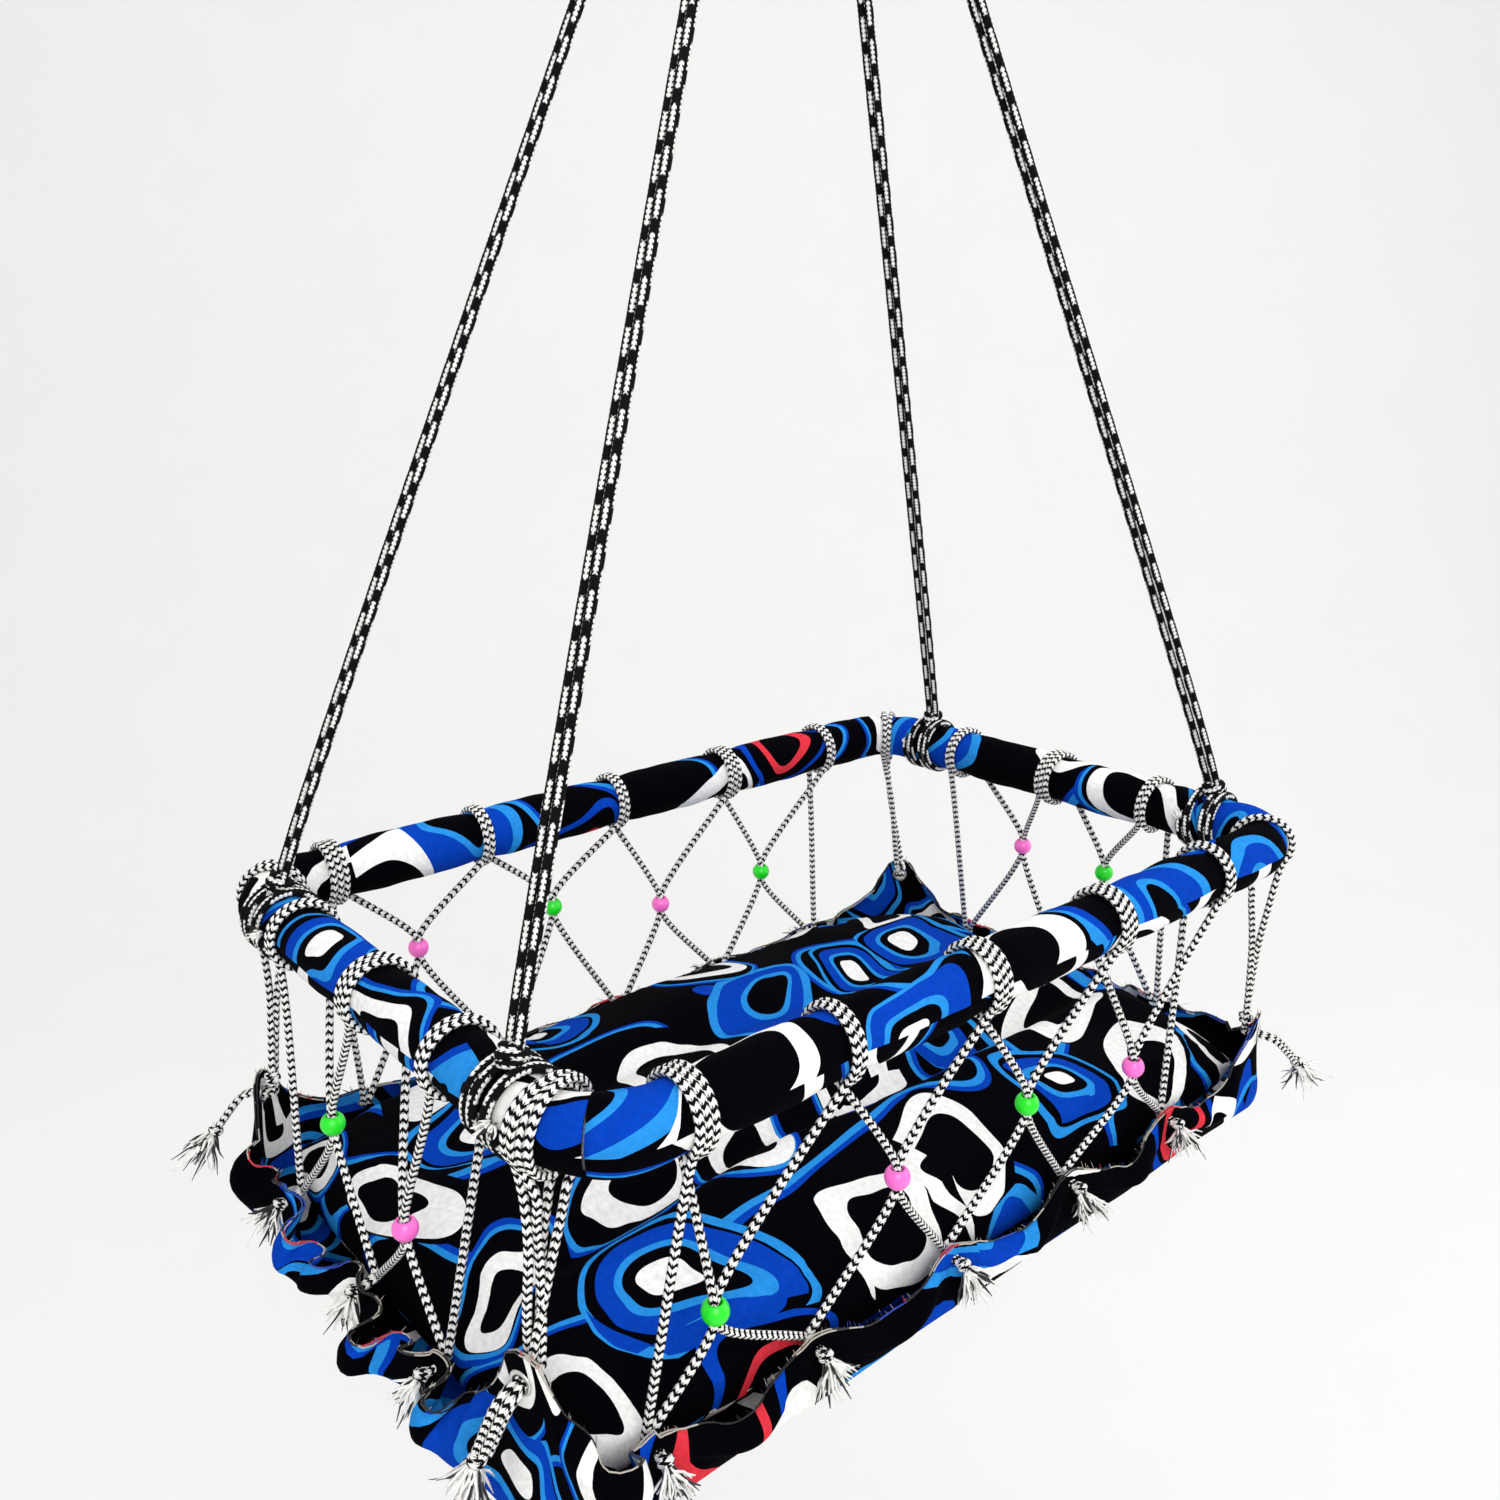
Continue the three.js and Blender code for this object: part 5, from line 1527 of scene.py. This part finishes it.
def cloth_row(distance, anchors, total):
    """The cloth's profile at a place along the edge: points from the free edge over the ridge to the floor,
    as how far out, how far along and how high each lies."""
    s = sizes()
    side, place, outward = edge_at(distance)
    (first, first_z), (last, last_z) = anchors[0], anchors[-1]
    before, before_z = max((a for a in anchors if a[0] <= distance), default=(last - total, last_z))
    after, after_z = min((a for a in anchors if a[0] > distance), default=(first + total, first_z))

    # A corner tip rises near its eyelet, and away and loose grow between the anchors
    near = [(abs(distance - at), z) for at, z in ((before, before_z), (after, after_z)) if z is not None]
    from_tip, tip_z = min(near, default=(math.inf, 0.0))
    rise = math.exp(-max(0.0, from_tip - TIP_FLAT / 2) / TIP_REACH)
    start = before if before_z is None else before + TIP_FLAT / 2
    end = after if after_z is None else after - TIP_FLAT / 2
    away = math.sin(math.pi * min(1.0, max(0.0, (distance - start) / (end - start)))) ** 1.6
    loose = away * (1 - rise)

    size, length = EDGE_WAVES[side]
    size *= (0.35 * (1 - rise) + 0.65 * loose) * (1 + 0.6 * noise_at(distance * 13, 7.7, 2))
    phase = 2 * math.pi * (distance / length + 0.7 * noise_at(distance * 8, 3.1, 0))
    ruffle = size * math.sin(phase)
    slide = -0.5 * size * math.sin(2 * phase)
    slump = noise_at(distance * 14, 8.7, 1) * EDGE_SLUMP * loose
    swell = WALL_SWELL * noise_at(distance * 11, 0.2, 4.0)
    tie_gap = min(abs(distance - before), abs(after - distance))
    gather = math.sin(2 * math.pi * distance / GATHER_PITCH) * GATHER_HEIGHT * (1 - rise)
    gather *= math.exp(-tie_gap / GATHER_REACH)
    bulge = EDGE_SWELLS[side] * away * (1 - 0.45 * rise)
    belly = WALL_BELLY * (1 - rise * 0.3)

    fallen = 1 - math.exp(-max(0.0, from_tip - TIP_FALL_FROM) / TIP_FALL_REACH)
    tip_top_z = tip_z + TIP_ABOVE_EYELET - TIP_FALL * fallen * (1 - rise * 0.5)
    top_z = mixed(-s.net_drop + TIE_BELOW_EDGE - EDGE_DIPS[side] * loose, tip_top_z, rise)
    ridge_z = mixed(-s.net_drop - RIDGE_BELOW_TIE - RIDGE_DROPS[side] * loose, tip_z - TIP_FOOT, rise)
    wall_z = -s.net_drop - WALL_FOOT * 0.62 - RIDGE_DROPS[side] * 0.6 * loose + WALL_FOOT_PLAY * rise
    foot_z = -s.net_drop - WALL_FOOT - WALL_FOOT_PLAY * loose
    floor_z = -s.net_drop - FLOOR_DEPTH
    return place, outward, [
        (bulge * EDGE_LEANS[side] * (1 - rise) + ruffle + slump, slide, top_z + 0.3 * slide),
        (bulge * 0.82 + ruffle * 0.8, slide * 0.75, mixed(top_z, ridge_z, 0.5) + 0.1 * ruffle),
        (bulge * 0.95 + ruffle * 0.45, slide * 0.3, ridge_z),
        (mixed(belly * 0.55, bulge * 0.8, 0.8 * away) + gather + swell * 0.5, 0.0, wall_z),
        (mixed(belly, bulge * 0.5, 0.6 * away) + gather * 0.6 + swell, 0.0, foot_z),
        (FLOOR_LIP + swell * 0.6, 0.0, floor_z + FLOOR_CURVE * 1.2),
        (-FLOOR_CURVE, 0.0, floor_z + FLOOR_CURVE * 0.32),
        (-FLOOR_INSET, 0.0, floor_z),
    ]


class CRADLE_OT_bed(bpy.types.Operator):
    """The bed's double cloth with its ruffled free edge, and the raw edges' trim."""

    bl_idname = "cradle.bed"
    bl_label = "Bed cloth"

    def execute(self, context):
        anchors, total = edge_anchors()
        count = round(total / EDGE_STEP)
        rows = [self.row(i * total / count, anchors, total) for i in range(count)]
        cloth = Fabric()
        self.sheet(cloth, rows)
        thing = cloth.piece("bed_sheet", HOOP_FRAME)
        wall = thing.modifiers.new("two layers", "SOLIDIFY")
        wall.thickness = BED_WALL
        wall.offset = 0.0
        look = printed_cloth("bed_print", (0.35, 0.8, 0.0))
        finish_piece(thing, look, "bed", ["bed_cloth"])
        trim = self.trim(rows)
        return {"FINISHED"}

    def row(self, distance, anchors, total):
        """Finer points down one profile and over the floor, with their places on the flat cloth."""
        place, outward, profile = cloth_row(distance, anchors, total)
        aside = Vector((-outward.y, outward.x, 0))
        points = [place + outward * shift + aside * slide + Vector((0, 0, z)) for shift, slide, z in profile]
        padded = with_ends(points)
        route = []
        for k, parts in enumerate(PROFILE_STEPS):
            a, b, c, d = padded[k:k + 4]
            for i in range(parts):
                t = i / parts
                route.append(0.5 * (2 * b + (c - a) * t + (2 * a - 5 * b + 4 * c - d) * t * t
                                    + (3 * b - a - 3 * c + d) * t * t * t))
        route.append(points[-1])
        base = Vector((route[-1].x, route[-1].y, 0))
        floor = Vector((0, 0, route[-1].z))
        maps = [base + outward * length for length in reversed(lengths_along(route[::-1]))]
        for share in FLOOR_SHARES:
            route.append(base * share + floor)
            maps.append(base * share)
        return route, maps

    def sheet(self, cloth, rows):
        """Joins the rows side by side, and closes the floor at its middle."""
        size = len(rows[0][0])
        for route, _ in rows:
            cloth.places += route
        middle = len(cloth.places)
        cloth.places.append(Vector((0, 0, rows[0][0][-1].z)))
        for i, (_, maps) in enumerate(rows):
            after = (i + 1) % len(rows)
            next_maps = rows[after][1]
            for k in range(size - 1):
                cloth.faces.append((i * size + k, i * size + k + 1, after * size + k + 1, after * size + k))
                cloth.maps.append([p.xy for p in (maps[k], maps[k + 1], next_maps[k + 1], next_maps[k])])
            cloth.faces.append((i * size + size - 1, middle, after * size + size - 1))
            cloth.maps.append([maps[-1].xy, (0.0, 0.0), next_maps[-1].xy])

    def trim(self, rows):
        """Two raw edges along the cloth's rim with loose threads."""
        dice = random.Random(31)
        trim = Fabric()
        rim = [route[0] for route, _ in rows]
        ways = [(route[0] - route[1]).normalized() for route, _ in rows]
        for layer in (-1, 1):
            line = []
            for i, (p, way) in enumerate(zip(rim, ways)):
                along = (rim[(i + 1) % len(rim)] - p).normalized()
                across = along.cross(way).normalized()
                wobble = noise_at(i * 0.35, layer * 5.0, 0.0) * RAW_EDGE_WOBBLE
                line.append(p + across * (RAW_EDGE_APART * layer) + way * (RAW_EDGE_OUT + wobble))
            trim.tube(line + line[:1], RAW_EDGE_RADIUS, sides=5)
            for i in range(0, len(line), 2):
                if dice.random() < 0.5:
                    continue
                tip = line[i] + ways[i] * dice.uniform(*THREAD_LENGTHS)
                tip += any_way(dice) * THREAD_CURL
                thread = [line[i], line[i].lerp(tip, 0.5), tip]
                trim.tube(thread, THREAD_RADII, sides=3, start=i * THREAD_MAP_STEP)
        return finish_piece(trim.piece("bed_raw_edge", HOOP_FRAME), raw_edge_look(), "bed")


# The mattress

MATTRESS_GAP = 0.004
MATTRESS_EDGE = 0.036
MATTRESS_RISE = 0.029
MATTRESS_CROWN = 0.01
MATTRESS_ROWS = 72
MATTRESS_WELD = 0.0004
# Lengthwise creases: place across the bed, width, depth, and how far the cloth rises on their front side
CREASES = ((0.062, 0.022, 0.013, 0.0), (-0.07, 0.014, 0.017, 0.006))
CREASE_WANDER = 0.006
PUFF_VOXEL = 0.0055
PUFF_PRESSURE = 4.0
PUFF_FRAMES = 20
PUFF_CAP = 0.009
PUFF_FLOOR_GAP = 0.0002
# Dents and folds come in over a height above the underside
WRINKLE_FROM = 0.01
WRINKLE_OVER = 0.03
DENT_DEPTH = 0.006
SMALL_DENT_DEPTH = 0.0015
RIM_FOLD = 0.0012
# The print turns down this far in from the edge and below the top, and the underside reads it from far off
PRINT_TURN = 0.06
PRINT_TOP = 0.012
PRINT_UNDERSIDE = 1.7
PRINT_LEAST_WAY = 1e-6


class CRADLE_OT_mattress(bpy.types.Operator):
    """The stuffed mattress, puffed out by a short cloth simulation."""

    bl_idname = "cradle.mattress"
    bl_label = "Mattress"

    def execute(self, context):
        shape = self.cushion()
        self.puff(context.scene, shape)
        self.wrinkle(shape)
        self.lay_print(shape)
        for polygon in shape.data.polygons:
            polygon.use_smooth = True
        look = printed_cloth("mattress_print", (5.15, 2.7, 0.0))
        finish_piece(shape, look, "bed", ["mattress"])
        return {"FINISHED"}

    def cushion(self):
        """A crowned cushion with drawn-in sides and two lengthwise creases."""
        s = sizes()
        low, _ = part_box("mattress")
        seam_z = low.z + MATTRESS_EDGE
        half_length = s.bed_length / 2 - MATTRESS_GAP
        half_width = s.bed_width / 2 - MATTRESS_GAP
        bm = bmesh.new()
        bmesh.ops.create_cube(bm, size=2.0)
        level = [e for e in bm.edges if abs(e.verts[0].co.z - e.verts[1].co.z) < 1]
        bmesh.ops.subdivide_edges(bm, edges=level, cuts=MATTRESS_ROWS, use_grid_fill=True)
        for vert in bm.verts:
            u = math.sin(math.pi / 2 * vert.co.x)
            v = math.sin(math.pi / 2 * vert.co.y)
            x = half_length * u * (1 - 0.05 * v ** 4)
            y = half_width * v * (1 - 0.05 * u ** 4)
            fullness = max(0.0, (1 - u * u) * (1 - v * v))
            if vert.co.z > 0:
                rise = MATTRESS_RISE * fullness ** 0.22 + MATTRESS_CROWN * fullness
                z = seam_z + max(0.0, rise + self.crease_at(x, y) * (1 - u ** 4))
            else:
                z = seam_z - MATTRESS_EDGE * min(1.0, 1.5 * fullness ** 0.3)
            vert.co = Vector((x, y, z))
        bmesh.ops.remove_doubles(bm, verts=bm.verts, dist=MATTRESS_WELD)
        bmesh.ops.recalc_face_normals(bm, faces=bm.faces)
        return piece_from(bm, "soft_mattress")

    def crease_at(self, x, y):
        """How far the creases lower the top, or raise it beside them."""
        rise = 0.0
        for crease_y, width, depth, lip in CREASES:
            from_crease = (y - crease_y + CREASE_WANDER * noise_at(x * 7, crease_y, 0)) / width
            rise += lip * math.exp(-((from_crease + 1.7) ** 2)) - depth * math.exp(-(from_crease ** 2))
        return rise

    def puff(self, scene, shape):
        """Twenty frames of inner pressure, with a cap on how far each point moves."""
        remesh = shape.modifiers.new("even", "REMESH")
        remesh.mode = "VOXEL"
        remesh.voxel_size = PUFF_VOXEL
        apply_modifiers(shape)
        rest = [v.co.copy() for v in shape.data.vertices]
        cloth = shape.modifiers.new("puff", "CLOTH")
        cloth.settings.use_pressure = True
        cloth.settings.uniform_pressure_force = PUFF_PRESSURE
        cloth.settings.effector_weights.gravity = 0.0
        cloth.settings.quality = 5
        for number in range(1, PUFF_FRAMES + 1):
            scene.frame_set(number)
        apply_modifiers(shape)
        scene.frame_set(1)
        low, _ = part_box("mattress")
        for vert, start in zip(shape.data.vertices, rest):
            step = vert.co - start
            if step.length > PUFF_CAP:
                step = step.normalized() * PUFF_CAP
            vert.co = start + step
            vert.co.z = max(vert.co.z, low.z + PUFF_FLOOR_GAP)

    def wrinkle(self, shape):
        """Soft dents, and small folds at the rim."""
        s = sizes()
        low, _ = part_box("mattress")
        for vert in shape.data.vertices:
            p = vert.co
            upper = min(1.0, max(0.0, (p.z - low.z - WRINKLE_FROM) / WRINKLE_OVER))
            dent = noise_at(p.x * 9, p.y * 11, 0.3) * DENT_DEPTH
            dent += noise_at(p.x * 26, p.y * 30, 2.3) * SMALL_DENT_DEPTH
            rim = max(abs(p.x) / (s.bed_length / 2), abs(p.y) / (s.bed_width / 2))
            fold = math.sin(p.x * 190 + 4 * noise.noise(p * 20)) * math.sin(p.y * 170) * RIM_FOLD
            vert.co.z += (dent + fold * max(0.0, rim - 0.75) * 3) * upper

    def lay_print(self, shape):
        """A map in metres: from above on the top, and rolled outwards down the sides."""
        s = sizes()
        low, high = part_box("mattress")
        layer = shape.data.uv_layers.get("cloth") or shape.data.uv_layers.new(name="cloth")
        inner_x, inner_y = s.bed_length / 2 - PRINT_TURN, s.bed_width / 2 - PRINT_TURN
        for polygon in shape.data.polygons:
            for loop in polygon.loop_indices:
                p = shape.data.vertices[shape.data.loops[loop].vertex_index].co
                core = Vector((max(-inner_x, min(inner_x, p.x)), max(-inner_y, min(inner_y, p.y)), 0))
                out = Vector((p.x, p.y, 0)) - core
                way = out.normalized() if out.length > PRINT_LEAST_WAY else Vector()
                flat = core + out + way * max(0.0, high.z - PRINT_TOP - p.z)
                if p.z < low.z + MATTRESS_EDGE and polygon.normal.z < -0.3:
                    flat = Vector((p.x + PRINT_UNDERSIDE, p.y, 0))
                layer.data[loop].uv = flat.xy


def apply_modifiers(thing):
    """Bakes a piece's modifiers into its mesh."""
    graph = bpy.context.evaluated_depsgraph_get()
    mesh = bpy.data.meshes.new_from_object(thing.evaluated_get(graph))
    thing.modifiers.clear()
    thing.data = mesh


class CRADLE_OT_inner_pieces(bpy.types.Operator):
    """Finishes for the tubes, the pins and the foam inside the rails."""

    bl_idname = "cradle.inner_pieces"
    bl_label = "Inner pieces"

    def execute(self, context):
        tube = metal("hoop_tube_steel", tint=(0.6, 0.61, 0.63), roughness=0.35, scratch_scale=500.0)
        looks = {"hoop_tube": tube, "tube_pin": tube, "rail_foam": foam_look()}
        for name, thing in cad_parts.items():
            for start, look in looks.items():
                if name.startswith(start):
                    thing.data.materials.clear()
                    thing.data.materials.append(look)
        return {"FINISHED"}


OPERATORS = (
    CRADLE_OT_stage,
    CRADLE_OT_ropes,
    CRADLE_OT_steel,
    CRADLE_OT_rails,
    CRADLE_OT_nets,
    CRADLE_OT_beads,
    CRADLE_OT_corner_cords,
    CRADLE_OT_eyelets,
    CRADLE_OT_bed,
    CRADLE_OT_mattress,
    CRADLE_OT_inner_pieces,
)


class CRADLE_PT_pieces(bpy.types.Panel):
    """Lists the cradle's pieces, sizes and colours."""

    bl_idname = "CRADLE_PT_pieces"
    bl_label = "Hanging cradle"
    bl_space_type = "VIEW_3D"
    bl_region_type = "UI"
    bl_category = "Cradle"

    def draw(self, context):
        for kind in OPERATORS:
            self.layout.operator(kind.bl_idname)
        for group in (context.scene.cradle_sizes, context.scene.cradle_colours):
            box = self.layout.box()
            for key in group.bl_rna.properties.keys():
                if key not in ("rna_type", "name"):
                    box.prop(group, key)


CLASSES = (CradleSizes, CradleColours, *OPERATORS, CRADLE_PT_pieces)


def register():
    for kind in CLASSES:
        bpy.utils.register_class(kind)
    bpy.types.Scene.cradle_sizes = PointerProperty(type=CradleSizes)
    bpy.types.Scene.cradle_colours = PointerProperty(type=CradleColours)


def unregister():
    del bpy.types.Scene.cradle_colours
    del bpy.types.Scene.cradle_sizes
    for kind in reversed(CLASSES):
        bpy.utils.unregister_class(kind)


def main():
    register()
    for kind in OPERATORS:
        family, name = kind.bl_idname.split(".")
        getattr(getattr(bpy.ops, family), name)()
    bpy.context.view_layer.update()


if __name__ == "__main__":
    main()
